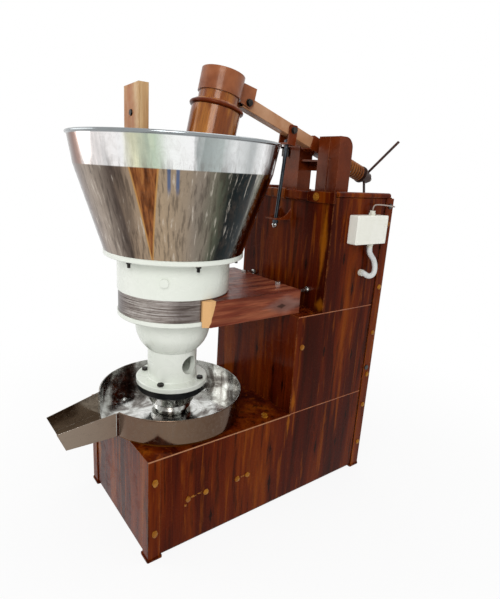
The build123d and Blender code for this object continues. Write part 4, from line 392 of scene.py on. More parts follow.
def hopper_sheet():
    """Polished spun cone and steeper band, with painted reflections in their colour: upright streaks,
    patches, a tapering copper-brown flare and two thin blue lines.
    """
    made, tree, skin, place = begin("hopper_polished_sheet")
    rolled = rolled_place(tree, place)
    air = use(tree, weathering, Vector=place, Size=1.6)
    edge = use(tree, worn_and_highlit_edge, Vector=place, Round=0.0012, Breakup=60.0)
    height = put(tree, "SeparateXYZ", Vector=place).outputs[2]
    sway = maths(tree, "MULTIPLY", maths(tree, "SUBTRACT", rolled["Streak"], 0.5), 0.05)
    turn = maths(tree, "ADD", rolled["Turn"], sway)
    # The cone's tones round the turn, and its dark and pale fine upright streaks: painted reflections.
    cone = chart(tree, turn, CONE_TONES)
    cone = washed(tree, cone, span(tree, rolled["Fine"], 0.5, 0.64), 0.5, "352d28")
    cone = washed(tree, cone, span(tree, rolled["Fine"], 0.3, 0.42, 1.0, 0.0), 0.45, "d8cfc2")
    # A tapering copper-brown flare with a pale fringe: a painted reflection.
    off_reflection = maths(tree, "ABSOLUTE", maths(tree, "SUBTRACT", rolled["Turn"], BROWN_REFLECTION_TURN))
    reflection_half = span(tree, height, BROWN_REFLECTION_FOOT, HOPPER_KNEE, 0.0, BROWN_REFLECTION_HALF, False)
    inside = maths(tree, "SUBTRACT", reflection_half, off_reflection)
    cone = tint(tree, span(tree, inside, -0.004, -0.001), cone, hue("b98a50"))
    flare_reflection_tones = chart(tree, rolled["Fine"], [(0.36, "a06a3c"), (0.46, "8a5430"), (0.56, "6e4024"),
                                          (0.66, "4f2c1a")])
    cone = tint(tree, span(tree, inside, -0.0012, 0.0008), cone, flare_reflection_tones)
    # Two thin blue lines near the top of the cone: painted reflections.
    for turn_at in BLUE_REFLECTION_TURNS:
        off_line = maths(tree, "ABSOLUTE", maths(tree, "SUBTRACT", rolled["Turn"], turn_at))
        slim = maths(tree, "MULTIPLY", span(tree, off_line, 0.0012, 0.0034, 1.0, 0.0),
                     span(tree, height, BLUE_REFLECTION_FOOT, BLUE_REFLECTION_TOP))
        cone = washed(tree, cone, slim, 0.8, "3c5a84")
    # The band's tones round the turn, its grey streaks and a darker patch just above the knee: painted
    # reflections.
    band = chart(tree, turn, BAND_TONES)
    band = washed(tree, band, span(tree, rolled["Streak"], 0.5, 0.64), 0.3, "5f6466")
    low = maths(tree, "MULTIPLY", span(tree, height, HOPPER_KNEE, HOPPER_KNEE + 0.045, 1.0, 0.0),
                span(tree, rolled["Fine"], 0.46, 0.6))
    band = washed(tree, band, low, 0.35, "6d625c")
    colour = tint(tree, span(tree, height, HOPPER_KNEE - 0.002, HOPPER_KNEE + 0.002), cone, band)
    colour = tint(tree, span(tree, height, HOPPER_RIM - 0.006, HOPPER_RIM - 0.003), colour, hue("8f9496"))
    colour = washed(tree, colour, air["Smudge"], 0.1, "7a6a5c")
    colour = washed(tree, colour, edge["Rub_and_highlight"], 0.5, "e4e4e0")
    feed(tree, skin["Base Color"], colour)
    smudged_gloss(tree, skin, air["Smudge"], 0.1, 0.24)
    skin["Metallic"].default_value = 1.0
    uneven = maths(tree, "ADD", maths(tree, "MULTIPLY", rolled["Dent"], 8.0), rolled["Brush"])
    relief(tree, skin, uneven, 0.00012, 0.6, edge["Normal"])
    return made


def tray_sheet():
    """Polished tray: grey-brown outside wall, and mirror floor and wall inside, with painted reflections in
    their colour: tones round the outside and dark and pale patches inside.
    """
    made, tree, skin, place = begin("tray_polished_sheet")
    rolled = rolled_place(tree, place, 2.0)
    air = use(tree, weathering, Vector=place, Size=1.6)
    edge = use(tree, worn_and_highlit_edge, Vector=place, Round=0.001, Breakup=60.0)
    centred = vectors(tree, "SUBTRACT", place, (*MORTAR_AXIS, 0.0))
    reach = vectors(tree, "LENGTH", vectors(tree, "MULTIPLY", centred, (1.0, 1.0, 0.0)))
    # Dark and pale patches on the floor and inner wall: painted reflections.
    reflection_patches = noise(tree, vectors(tree, "MULTIPLY", place, (1.0, 1.0, 0.4)), 7.0, 4.0, 0.6, 1.4)
    inside = chart(tree, reflection_patches, [(0.3, "3a3431"), (0.42, "84807b"), (0.52, "c9cac6"), (0.62, "e4e5e2"),
                                 (0.75, "9a9690")])
    # Tones round the outside wall and its fine streaks: painted reflections over its grey-brown.
    outside = chart(tree, rolled["Turn"], TRAY_TONES)
    outside = washed(tree, outside, span(tree, rolled["Fine"], 0.5, 0.66), 0.25, "6b5f55")
    colour = tint(tree, span(tree, reach, TRAY_WALL - 0.0016, TRAY_WALL - 0.0004), inside, outside)
    colour = washed(tree, colour, air["Smudge"], 0.12, "8a7a6c")
    colour = washed(tree, colour, edge["Rub_and_highlight"], 0.6, "e8e8e4")
    feed(tree, skin["Base Color"], colour)
    smudged_gloss(tree, skin, air["Smudge"], 0.1, 0.3)
    skin["Metallic"].default_value = 1.0
    uneven = maths(tree, "ADD", maths(tree, "MULTIPLY", rolled["Dent"], 6.0), rolled["Brush"])
    relief(tree, skin, uneven, 0.00012, 0.6, edge["Normal"])
    return made


def lacquer(name, lift=0.0, rim=None):
    """Grained red-brown lacquer with orange streaks, golden flares and dark diamond knots, glossy over all,
    with pale edges that are rubbed lacquer and a painted highlight.
    lift moves the whole tone towards orange, and rim is where a painted highlight starts: a pale line beyond
    a distance from the middle."""
    made, tree, skin, place = begin(name)
    air = use(tree, weathering, Vector=place, Size=0.8)
    edge = use(tree, worn_and_highlit_edge, Vector=place, Round=0.003, Breakup=25.0)
    upright = vectors(tree, "MULTIPLY", place, (1.0, 1.0, 0.07))
    wide = noise(tree, upright, 9.0, 3.0, 0.55, 0.5)
    streak = noise(tree, upright, 34.0, 4.0, 0.6, 0.4)
    fibre = noise(tree, vectors(tree, "MULTIPLY", place, (1.0, 1.0, 0.03)), 210.0, 3.0, 0.6)
    tone = maths(tree, "ADD", wide, lift)
    colour = chart(tree, tone, [(0.28, "2c0803"), (0.42, "3f0e04"), (0.53, "561a04"), (0.64, "6c2a05"),
                                (0.8, "8e480c")])
    colour = washed(tree, colour, span(tree, streak, 0.34, 0.46, 1.0, 0.0), 0.75, "240702")
    colour = washed(tree, colour, span(tree, streak, 0.54, 0.66), 0.6, "84400a")
    colour = washed(tree, colour, span(tree, fibre, 0.5, 0.7), 0.4, "220602")
    knots = [use(tree, knot, Vector=place, Centre=at, Reach=reach, Warp=0.5) for at, reach in KNOTS]
    hearts = strongest(tree, [spot["Heart"] for spot in knots])
    halos = strongest(tree, [spot["Halo"] for spot in knots])
    glows = [use(tree, knot, Vector=place, Centre=at, Reach=reach, Warp=0.6) for at, reach in FLARES]
    flares = strongest(tree, [spot["Halo"] for spot in glows])
    colour = washed(tree, colour, flares, 0.55, "a8600e")
    colour = washed(tree, colour, halos, 0.5, "3a0e04")
    colour = washed(tree, colour, hearts, 0.9, "120302")
    colour = washed(tree, colour, air["Speck"], 0.12, "b06a30")
    # Pale edges: rubbed lacquer, and a painted highlight along them.
    colour = washed(tree, colour, edge["Rub_and_highlight"], 0.7, "b9703c")
    # Beyond rim, a pale line along the edge: a painted highlight.
    if rim:
        out = put(tree, "SeparateXYZ", Vector=vectors(tree, "ABSOLUTE", place)).outputs[0]
        colour = washed(tree, colour, span(tree, out, rim - 0.002, rim), 0.8, "c08a66")
    feed(tree, skin["Base Color"], colour)
    smudged_gloss(tree, skin, air["Smudge"], 0.2, 0.36)
    skin["Specular IOR Level"].default_value = 0.07
    skin["Specular Tint"].default_value = hue("ff9c5c")
    ripple = maths(tree, "ADD", noise(tree, place, 12.0, 3.0, 0.5), maths(tree, "MULTIPLY", fibre, 0.1))
    relief(tree, skin, ripple, 0.0006, 0.6, edge["Normal"])
    return made


def timber(name, tones, ring, wander, at, turn, rough=0.35, clear=0.0, gloss=0.3, spots=(), heart=None,
           cut=None, rings=0.4):
    """Solid timber: growth rings about an axis, fibres, pores, knots and varnish.
    heart is a reddish streak (place, reach, tone) and cut is a second tone beyond a slanting face."""
    made, tree, skin, place = begin(name)
    own = placed(tree, place, at=at, turn=turn)
    wood = use(tree, timber_grain, Vector=own, Ring=ring, Wander=wander)
    edge = use(tree, worn_and_highlit_edge, Vector=place, Round=0.002, Breakup=40.0)
    air = use(tree, weathering, Vector=place, Size=1.2)
    light, middle, dark, pore = tones
    colour = chart(tree, wood["Bands"], [(0.28, dark), (0.45, middle), (0.62, light)])
    colour = washed(tree, colour, wood["Rings"], rings, dark)
    colour = washed(tree, colour, span(tree, wood["Fibre"], 0.42, 0.7), 0.4, pore)
    if heart:
        centre, reach, tone = heart
        streak = use(tree, knot, Vector=place, Centre=centre, Reach=reach, Warp=0.5)["Halo"]
        colour = washed(tree, colour, streak, 0.75, tone)
    if cut:
        centre, slant, tone = cut
        beyond = vectors(tree, "SUBTRACT", vectors(tree, "ABSOLUTE", place), centre)
        side = vectors(tree, "DOT_PRODUCT", beyond, slant)
        ragged = maths(tree, "MULTIPLY", maths(tree, "SUBTRACT", wood["Bands"], 0.5), 0.012)
        side = maths(tree, "ADD", side, ragged)
        colour = tint(tree, span(tree, side, -0.002, 0.002), colour, hue(tone))
    for centre, reach, strength in spots:
        spot = use(tree, knot, Vector=place, Centre=centre, Reach=reach, Warp=0.45)
        colour = washed(tree, colour, spot["Halo"], strength * 0.5, dark)
        colour = washed(tree, colour, spot["Heart"], strength, pore)
    colour = washed(tree, colour, wood["Pores"], 0.5, pore)
    colour = washed(tree, colour, edge["Rub_and_highlight"], 0.4, light)
    feed(tree, skin["Base Color"], colour)
    smudged_gloss(tree, skin, air["Smudge"], rough, rough + 0.15)
    skin["Specular IOR Level"].default_value = gloss
    skin["Specular Tint"].default_value = hue("ffc896")
    skin["Coat Weight"].default_value = clear
    skin["Coat Roughness"].default_value = 0.1
    relief(tree, skin, maths(tree, "ADD", wood["Fibre"], wood["Rings"]), 0.00025, 0.6, edge["Normal"])
    return made


def scored_band():
    """Bare steel that the brace rubs: long level scratches, grey bare patches, and painted shade and
    highlight that darken and lighten it round the axis.
    """
    made, tree, skin, place = begin("scored_band_steel")
    rolled = rolled_place(tree, place, 3.0, 0.35)
    air = use(tree, weathering, Vector=place, Size=2.0)
    edge = use(tree, worn_and_highlit_edge, Vector=place, Round=0.001, Breakup=60.0)
    colour = chart(tree, rolled["Brush"], [(0.32, "544844"), (0.42, "8e857f"), (0.52, "bdb6b0"),
                                           (0.66, "e6e3df")])
    shade = chart(tree, rolled["Turn"], BAND_SHADE)
    colour = tint(tree, 0.8, colour, shade, "MULTIPLY")
    colour = washed(tree, colour, air["Smudge"], 0.25, "4a3a34")
    feed(tree, skin["Base Color"], colour)
    feed(tree, skin["Roughness"], span(tree, rolled["Brush"], 0.3, 0.7, 0.24, 0.42, False))
    skin["Metallic"].default_value = 1.0
    relief(tree, skin, rolled["Brush"], 0.0006, 0.8, edge["Normal"])
    return made


def screw_thread_steel():
    """Greased steel with the thread's crests across the pull arm's slope."""
    made, tree, skin, place = begin("screw_thread_steel")
    own = placed(tree, place, at=tuple(TRUNNION), turn=(math.radians(90) - ARM_SLOPE, 0.0, 0.0))
    along = put(tree, "SeparateXYZ", Vector=own).outputs[2]
    wave = maths(tree, "PINGPONG", maths(tree, "MULTIPLY", along, FLANKS_PER_METRE), 1.0)
    air = use(tree, weathering, Vector=place, Size=2.0)
    edge = use(tree, worn_and_highlit_edge, Vector=place, Round=0.0008, Breakup=80.0)
    colour = tint(tree, wave, hue("2b2523"), hue("9c948c"))
    colour = washed(tree, colour, air["Smudge"], 0.4, "4a3424")
    feed(tree, skin["Base Color"], colour)
    smudged_gloss(tree, skin, air["Smudge"], 0.28, 0.5)
    skin["Metallic"].default_value = 1.0
    relief(tree, skin, wave, 0.0009, 1.0, edge["Normal"])
    return made


def gland_plastic():
    """White nylon on the isolator box, and black rubber where the wire and knob meet the rear post."""
    made, tree, skin, place = begin("gland_plastic")
    air = use(tree, weathering, Vector=place, Size=2.0)
    edge = use(tree, worn_and_highlit_edge, Vector=place, Round=0.001, Breakup=60.0)
    rearward = put(tree, "SeparateXYZ", Vector=place).outputs[1]
    colour = tint(tree, span(tree, rearward, RUBBER_FROM, RUBBER_BY), hue("dcdccf"), hue("161617"))
    colour = washed(tree, colour, air["Smudge"], 0.2, "5a5650")
    feed(tree, skin["Base Color"], colour)
    smudged_gloss(tree, skin, air["Smudge"], 0.34, 0.5)
    relief(tree, skin, noise(tree, place, 800.0, 2.0, 0.6), 0.0001, 1.0, edge["Normal"])
    return made


FLARES = [
    ((0.262, 0.221, 1.215), (0.014, 0.010, 0.110)), ((0.278, 0.221, 0.930), (0.020, 0.010, 0.022)),
    ((0.300, 0.092, 0.500), (0.010, 0.008, 0.036)), ((0.300, 0.075, 0.400), (0.010, 0.006, 0.050)),
    ((-0.225, -0.610, 0.200), (0.020, 0.010, 0.090)), ((-0.300, 0.500, 1.150), (0.010, 0.018, 0.110)),
    ((0.090, 0.610, 0.700), (0.024, 0.010, 0.130)),
]

KNOTS = [
    ((0.300, -0.324, 0.083), (0.015, 0.015, 0.076)), ((0.300, -0.010, 0.119), (0.018, 0.018, 0.105)),
    ((0.300, 0.271, 0.211), (0.015, 0.015, 0.068)), ((0.300, 0.415, 0.197), (0.014, 0.014, 0.065)),
    ((0.300, 0.258, 0.715), (0.014, 0.014, 0.061)), ((0.300, 0.453, 0.657), (0.014, 0.014, 0.068)),
    ((0.300, 0.320, 1.137), (0.014, 0.014, 0.061)), ((0.300, 0.399, 0.993), (0.014, 0.014, 0.068)),
    ((0.300, -0.020, 0.300), (0.011, 0.011, 0.051)), ((0.300, 0.470, 0.330), (0.011, 0.011, 0.058)),
    ((-0.216, 0.221, 1.080), (0.015, 0.015, 0.068)), ((0.168, 0.221, 1.101), (0.015, 0.015, 0.068)),
    ((0.037, 0.078, 0.672), (0.015, 0.015, 0.071)), ((0.165, 0.078, 0.611), (0.014, 0.014, 0.061)),
    ((0.235, 0.078, 0.560), (0.015, 0.015, 0.071)), ((-0.140, 0.078, 0.760), (0.015, 0.015, 0.068)),
    ((-0.300, -0.250, 0.160), (0.017, 0.017, 0.093)), ((-0.300, 0.180, 0.270), (0.015, 0.015, 0.076)),
    ((-0.300, 0.330, 0.640), (0.015, 0.015, 0.068)), ((-0.300, 0.430, 1.060), (0.015, 0.015, 0.076)),
    ((0.120, -0.610, 0.180), (0.016, 0.016, 0.085)), ((-0.150, -0.610, 0.290), (0.015, 0.015, 0.068)),
    ((-0.120, 0.610, 0.420), (0.017, 0.017, 0.093)), ((0.150, 0.610, 0.980), (0.016, 0.016, 0.085)),
]

# Tones of the hopper's cone and band and of the tray's outside wall, by share of a turn round the axis:
# painted reflections.
CONE_TONES = [
    (0.0, "6e625a"), (0.1, "4a423c"), (0.19, "26302f"), (0.236, "5c4438"), (0.28, "a39588"),
    (0.335, "4f443e"), (0.355, "9a8672"), (0.4, "a8937a"), (0.46, "877c70"), (0.49, "55584a"),
    (0.51, "171d1e"), (0.55, "232a2c"), (0.572, "cfcdc0"), (0.584, "432418"), (0.62, "8d9298"),
    (1.0, "6e625a"),
]
BAND_TONES = [
    (0.0, "b4b0aa"), (0.08, "e8e6e2"), (0.19, "2c3837"), (0.246, "6a3e2c"), (0.268, "b08a7a"),
    (0.278, "f2e6e2"), (0.35, "f2f2f2"), (0.37, "e6e4c4"), (0.395, "bccbb6"), (0.414, "f4f6f4"),
    (0.446, "f4f4f4"), (0.456, "98a09e"), (0.48, "b0b8b6"), (0.5, "e2e4e4"), (0.53, "b4b8b8"),
    (0.556, "f2f2f2"), (0.58, "4c4443"), (0.7, "e6e6e4"), (1.0, "b4b0aa"),
]
TRAY_TONES = [
    (0.0, "7c6c5e"), (0.12, "5a4a3e"), (0.25, "94887a"), (0.33, "6a5446"), (0.42, "6e5a4a"), (0.5, "5a4638"),
    (0.6, "4a3426"), (0.72, "8c8074"), (0.86, "6a5c50"), (1.0, "7c6c5e"),
]
BAND_SHADE = [
    (0.0, "c8c4c0"), (0.12, "8a8482"), (0.2, "4a4042"), (0.245, "8f8688"), (0.29, "cfcac8"), (0.34, "eae8e6"),
    (0.4, "c6c0be"), (0.44, "6e6260"), (0.52, "a8a2a0"), (0.64, "e0dcd8"), (0.8, "8a8482"), (0.9, "e2e0dc"),
    (1.0, "c8c4c0"),
]

upright_turn = (0.0, 0.0, 0.0)
pestle_turn = (-PESTLE_LEAN, 0.0, 0.0)

finishes = {
    "cabinet": lacquer("cabinet_lacquer"),
    "plate": lacquer("deck_lacquer", rim=0.3035),
    "post": lacquer("post_lacquer", lift=0.1),
    "rail": lacquer("rail_lacquer", lift=0.06),
    "seam": enamel("seam_filler", "a8663c", "8a4420", "d0a07c", 0.28, 0.2, size=2.0, gloss=0.3),
    "frame": enamel("frame_red_brown", "4a1d10", "2f120a", "8a5a3c", 0.45, 0.05),
    "fittings": enamel("fittings_red_brown", "702c0c", "4a1605", "c08460", 0.22, 0.06, rub_and_highlight=0.95, size=1.3,
                       gloss=0.2, sheen="ffbe90"),
    "collar": enamel("collar_copper_brown", "9a5a36", "74381a", "d2a07c", 0.3, 0.15, size=1.6, gloss=0.4,
                     sheen="ffd8b8"),
    "arm": enamel("arm_tan_coat", "c39674", "a9754e", "e0bc9c", 0.34, 0.05, size=1.4, gloss=0.25),
    "spring": enamel("spring_brown", "8f5426", "5f2e12", "cfa064", 0.3, 0.05, size=2.0, sheen="ffc896"),
    "nut": enamel("capstan_nut_brown", "452418", "2a1812", "7a5a48", 0.34, 0.05, size=2.0),
    "mortar": enamel("mortar_cream", "eaede4", "e0e5da", "d0d0c0", 0.24, 0.4, peel=0.00012, rub_and_highlight=0.4, size=0.5,
                     gloss=0.4, speck=0.05),
    "golden": enamel("golden_brown", "a8701f", "7a420c", "d0a04c", 0.26, 0.05, size=2.5, gloss=0.3,
                     sheen="ffd080"),
    "ring": enamel("tray_ring_golden", "6e3f10", "522806", "a8702c", 0.26, 0.1, gloss=0.3, sheen="ffd080"),
    "coupling": enamel("coupling_black", "17191a", "0c0d0e", "4a4a48", 0.34, 0.1),
    "motor": enamel("motor_blue_grey", "46555e", "333f46", "8d979c", 0.4, 0.1),
    "gear_iron": enamel("gear_iron_grey", "55585a", "3a3c3e", "8d8f90", 0.45, 0.05, peel=0.0005),
    "dark_bolt": bare_metal("dark_bolt_steel", "4a4744", "211f1e", 0.38, size=2.0),
    "rod": bare_metal("rod_steel", "4a4f54", "24272b", 0.3, along=(1, 1, 0.05)),
    "zinc": bare_metal("zinc_plate", "d6d7d3", "9a9c99", 0.22, size=2.0),
    "bright": bare_metal("bright_turned_steel", "f0f0ee", "a8a8a6", 0.08, along=(0.2, 0.2, 3.0)),
    "worn": bare_metal("worn_shaft_steel", "a8a49e", "57524d", 0.28, along=(0.2, 0.2, 3.0)),
    "band": scored_band(),
    "thread": screw_thread_steel(),
    "hopper": hopper_sheet(),
    "tray": tray_sheet(),
    "pestle": timber("pestle_varnished", ("b8742c", "8f4a16", "6a2a0c", "35140a"), 0.014, 0.06,
                     PESTLE_TOE, pestle_turn, rough=0.2, clear=0.35, gloss=0.3, rings=0.3,
                     spots=(((0.09, -0.20, 1.55), (0.02, 0.02, 0.07), 0.5),)),
    "liner": timber("liner_oiled", ("a3703f", "7c4c26", "512c15", "2c1509"), 0.009, 0.04,
                    (*MORTAR_AXIS, 0.0), upright_turn, rough=0.3, clear=0.1),
    "brace": timber("brace_hardwood", ("a65f42", "763424", "481a12", "1e0a08"), 0.016, 0.09,
                    (0.0, 0.20, 0.80), (math.radians(90), 0.0, 0.0), rough=0.34, clear=0.04, gloss=0.18,
                    rings=0.3,
                    spots=(((0.250, 0.020, 0.945), (0.012, 0.045, 0.022), 0.8),
                           ((0.120, -0.020, 1.005), (0.030, 0.060, 0.012), 0.5)),
                    heart=((0.250, 0.045, 0.948), (0.020, 0.075, 0.026), "8f6c62"),
                    cut=((0.0, 0.322, 0.955), (0.0, 1.0, 0.25), "dfb07a")),
    "scraper": timber("scraper_pale_board", ("f0d6a8", "e0bd8c", "c49a6c", "8a5c38"), 0.010, 0.05,
                      (-0.33, -0.40, 1.2), upright_turn, rough=0.42, clear=0.05, gloss=0.2, rings=0.3,
                      heart=((-0.205, -0.462, 1.66), (0.055, 0.012, 0.30), "a2562c"),
                      spots=(((-0.187, -0.461, 1.640), (0.004, 0.01, 0.030), 0.9),)),
    "white": moulded("box_white_plastic", "fdfdf4", "ebebdc", 0.3),
    "gland": gland_plastic(),
    "wire": moulded("wire_pale_sleeve", "a89a90", "6c5a50", 0.4),
    "grey": moulded("conduit_grey_plastic", "dcdedc", "b4b8b8", 0.36, ribs=0.004, pull=1.0),
    "rubber": moulded("belt_rubber", "1d1c1c", "2b2826", 0.6),
}

worn_by = {
    "cabinet": ["lower_sides", "middle_sides", "upper_sides", "front_panel", "riser_panel",
                "tower_front_panel", "tower_top_plate", "rear_panel", "foot_pads"],
    "plate": ["deck_plate", "shelf_plate"],
    "post": ["front_posts", "rear_posts"],
    "rail": ["tower_trim"],
    "frame": ["inner_frame"],
    "fittings": ["ear_left", "ear_right", "ear_tie", "rod_bracket", "rod_hanger", "trunnion_sleeve",
                 "pestle_ring"],
    "collar": ["head_collar"],
    "arm": ["pull_arm"],
    "spring": ["spring"],
    "nut": ["thrust_washer", "capstan_nut"],
    "mortar": ["mortar_casting"],
    "golden": ["frame_bolts"],
    "ring": ["tray_support"],
    "coupling": ["coupling_flange"],
    "motor": ["motor_body"],
    "gear_iron": ["bearings", "gearbox_housing", "gearbox_cover", "worm_wheel", "gearbox_pulley",
                  "motor_pulley"],
    "dark_bolt": ["scraper_bar", "mortar_bolts", "arm_bolts"],
    "rod": ["hanging_rod"],
    "zinc": ["brace_bolts"],
    "bright": ["shaft_collar"],
    "worn": ["drive_shaft", "worm_shaft"],
    "band": ["wear_band"],
    "thread": ["tension_screw"],
    "hopper": ["hopper"],
    "tray": ["tray"],
    "pestle": ["pestle"],
    "liner": ["mortar_liner"],
    "brace": ["brace_block"],
    "scraper": ["scraper_board"],
    "white": ["isolator_box", "isolator_lid"],
    "gland": ["cable_glands"],
    "wire": ["supply_wire"],
    "grey": ["conduit"],
    "rubber": ["belts"],
}

for finish, names in worn_by.items():
    for name in names:
        mesh = nodes[name].data
        mesh.materials.clear()
        mesh.materials.append(finishes[finish])


# Pieces that the solids leave to the finishing shop

def piece(name, bm, finish, body, smooth=True):
    """Turns a bmesh into a finished piece that rides on a body."""
    bmesh.ops.remove_doubles(bm, verts=bm.verts, dist=1e-6)
    bmesh.ops.recalc_face_normals(bm, faces=bm.faces)
    for face in bm.faces:
        face.smooth = smooth
    mesh = bpy.data.meshes.new(name)
    bm.to_mesh(mesh)
    bm.free()
    made = bpy.data.objects.new(name, mesh)
    bpy.context.scene.collection.objects.link(made)
    mesh.materials.append(finishes[finish])
    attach(made, body)
    return made


def lathe(bm, outline, at, axis=(0, 0, 1), steps=28):
    """Spins an (outwards, upwards) outline about a place and axis."""
    before = set(bm.verts)
    stand = Vector(axis).to_track_quat("Z", "Y").to_matrix().to_4x4()
    stand.translation = Vector(at)
    line = [bm.verts.new(stand @ Vector((out, 0.0, up))) for out, up in outline]
    edges = [bm.edges.new(pair) for pair in zip(line, line[1:])]
    bmesh.ops.spin(bm, geom=line + edges, cent=at, axis=Vector(axis).normalized(), angle=2 * math.pi,
                   steps=steps, use_merge=True)
    made = [v for v in bm.verts if v not in before]
    bmesh.ops.remove_doubles(bm, verts=made, dist=1e-6)


def tray_screws():
    """Domed screws on flat washers that hold the tray's floor down."""
    bm = bmesh.new()
    outline = [(0.0, 0.0062), (0.0035, 0.0058), (0.0068, 0.0042), (0.0085, 0.0018), (0.0085, 0.0012),
               (0.0125, 0.0012), (0.0128, 0.0)]
    for turn in range(6):
        angle = math.radians(-136 + 60 * turn)
        at = (MORTAR_AXIS[0] + SCREW_RING * math.cos(angle), MORTAR_AXIS[1] + SCREW_RING * math.sin(angle),
              TRAY_FLOOR)
        lathe(bm, outline, at, steps=24)
    piece("tray_screws", bm, "zinc", "frame")


def flattened_lump(bm, reach, at):
    """A ball drawn out to a reach along each axis."""
    lump = bmesh.ops.create_icosphere(bm, subdivisions=3, radius=1.0)["verts"]
    bmesh.ops.scale(bm, verts=lump, vec=reach)
    bmesh.ops.translate(bm, verts=lump, vec=at)


def gold_dabs():
    """Golden brown coats laid over the heads of the cabinet's bolts and over its nail holes."""
    bm = bmesh.new()
    on_post = (0.006, 0.013, 0.017)
    on_side = (0.0075, 0.0125, 0.0135)
    sunk_side = CABINET_SIDE - 0.002
    dabs = [(POST_SIDE, FRONT_BOLT_Y, up, on_post) for up in (0.349, 0.120)]
    dabs += [(CABINET_SIDE, along, BEAM_BOLT_Z, on_side) for along in (-0.436, -0.352, -0.195, -0.141)]
    dabs += [(CABINET_SIDE, 0.116, 0.758, on_side)]
    dabs += [(POST_SIDE, REAR_BOLT_Y, up, on_side) for up in (0.140, 0.358, 0.528, 0.752, 0.985, 1.286)]
    dabs += [(sunk_side, -0.410, 0.218, (0.0035, 0.016, 0.006)),
             (sunk_side, -0.380, 0.221, (0.0035, 0.014, 0.005)),
             (sunk_side, -0.446, 0.188, (0.0035, 0.007, 0.009)),
             (sunk_side, -0.168, 0.216, (0.0035, 0.014, 0.005))]
    for out, along, up, reach in dabs:
        for side in (1, -1):
            flattened_lump(bm, reach, (side * out, along, up))
    for across, along in ((0.261, -0.033), (0.244, -0.022)):
        flattened_lump(bm, (0.013, 0.016, 0.003), (across, along, DECK_TOP))
    lumpy(piece("gold_dabs", bm, "golden", "frame"), 0.007)


def lumpy(made, height):
    """Roughens a poured or brushed piece."""
    lumps = bpy.data.textures.get("brushed_lumps") or bpy.data.textures.new("brushed_lumps", "CLOUDS")
    lumps.noise_scale = 0.006
    rough = made.modifiers.new("lumpy", "DISPLACE")
    rough.texture = lumps
    rough.strength = height
    rough.mid_level = 0.58


def weld_bead(name, runs, thick, body, finish="fittings"):
    """Rippled fillet beads along straight runs."""
    bm = bmesh.new()
    for start, end in runs:
        start, end = Vector(start), Vector(end)
        way = end - start
        count = max(2, round(way.length / (thick * 0.9)))
        for step in range(count + 1):
            drop = bmesh.ops.create_icosphere(bm, subdivisions=2, radius=thick)["verts"]
            bmesh.ops.translate(bm, verts=drop, vec=start + way * (step / count))
    piece(name, bm, finish, body)


def filled_seams():
    """Thin filled and lacquered ridges over the cabinet's level seams."""
    bm = bmesh.new()
    for side in (1, -1):
        for up in SEAM_HEIGHTS:
            ridge = bmesh.ops.create_cone(bm, cap_ends=True, segments=12, radius1=SEAM_RADIUS,
                                          radius2=SEAM_RADIUS, depth=SEAM_END - SEAM_START)["verts"]
            bmesh.ops.rotate(bm, verts=ridge, cent=(0, 0, 0), matrix=Matrix.Rotation(math.pi / 2, 3, "X"))
            bmesh.ops.translate(bm, verts=ridge, vec=(side * CABINET_SIDE, (SEAM_START + SEAM_END) / 2, up))
    long_edges = [e for e in bm.edges if abs(e.verts[0].co.y - e.verts[1].co.y) > 0.1]
    bmesh.ops.subdivide_edges(bm, edges=long_edges, cuts=60)
    lumpy(piece("filled_seams", bm, "seam", "frame"), 0.0006)


def rod_cap():
    """Bright acorn nut on the foot of the hanging rod."""
    hang = (ROD_FOOT - ROD_TOP).normalized()
    bm = bmesh.new()
    outline = [(0.0, 0.0445), (0.0045, 0.0438), (0.0082, 0.0415), (0.0103, 0.038), (0.0108, 0.034),
               (0.0132, 0.033), (0.0138, 0.0315), (0.0138, 0.0245), (0.0128, 0.0232), (0.0084, 0.0228)]
    lathe(bm, outline, ROD_FOOT, hang, steps=24)
    piece("rod_acorn_nut", bm, "zinc", "hanger")


def collar_set_screws():
    """Socket set screws in the bright collar under the coupling."""
    bm = bmesh.new()
    for turn in range(3):
        angle = math.radians(-70 + 120 * turn)
        way = (math.cos(angle), math.sin(angle), 0.0)
        at = (MORTAR_AXIS[0] + SET_SCREW_REACH * way[0], MORTAR_AXIS[1] + SET_SCREW_REACH * way[1],
              SET_SCREW_HEIGHT)
        outline = [(0.0, 0.0006), (0.0026, 0.0006), (0.0028, 0.0022), (0.0050, 0.0024), (0.0056, 0.0016),
                   (0.0058, -0.002)]
        lathe(bm, outline, at, way, steps=20)
    piece("collar_set_screws", bm, "dark_bolt", "mortar")


def lid_edge():
    """Raised plain edge round the isolator's lid."""
    bm = bmesh.new()
    rim = bmesh.ops.create_grid(bm, x_segments=1, y_segments=1, size=0.5)["verts"]
    bmesh.ops.scale(bm, verts=rim, vec=LID_SIZE)
    bmesh.ops.rotate(bm, verts=rim, cent=(0, 0, 0), matrix=Matrix.Rotation(math.pi / 2, 3, "Z"))
    bmesh.ops.rotate(bm, verts=rim, cent=(0, 0, 0), matrix=Matrix.Rotation(math.pi / 2, 3, "Y"))
    inner = bmesh.ops.inset_region(bm, faces=list(bm.faces), thickness=0.0018, use_boundary=True,
                                   use_even_offset=True)["faces"]
    middle = [f for f in bm.faces if f not in inner]
    bmesh.ops.delete(bm, geom=middle, context="FACES")
    bmesh.ops.solidify(bm, geom=list(bm.faces), thickness=0.0016)
    bmesh.ops.translate(bm, verts=list(bm.verts), vec=LID_FACE)
    piece("lid_flap_line", bm, "white", "frame", smooth=False)


tray_screws()
gold_dabs()
filled_seams()
rod_cap()
collar_set_screws()
lid_edge()

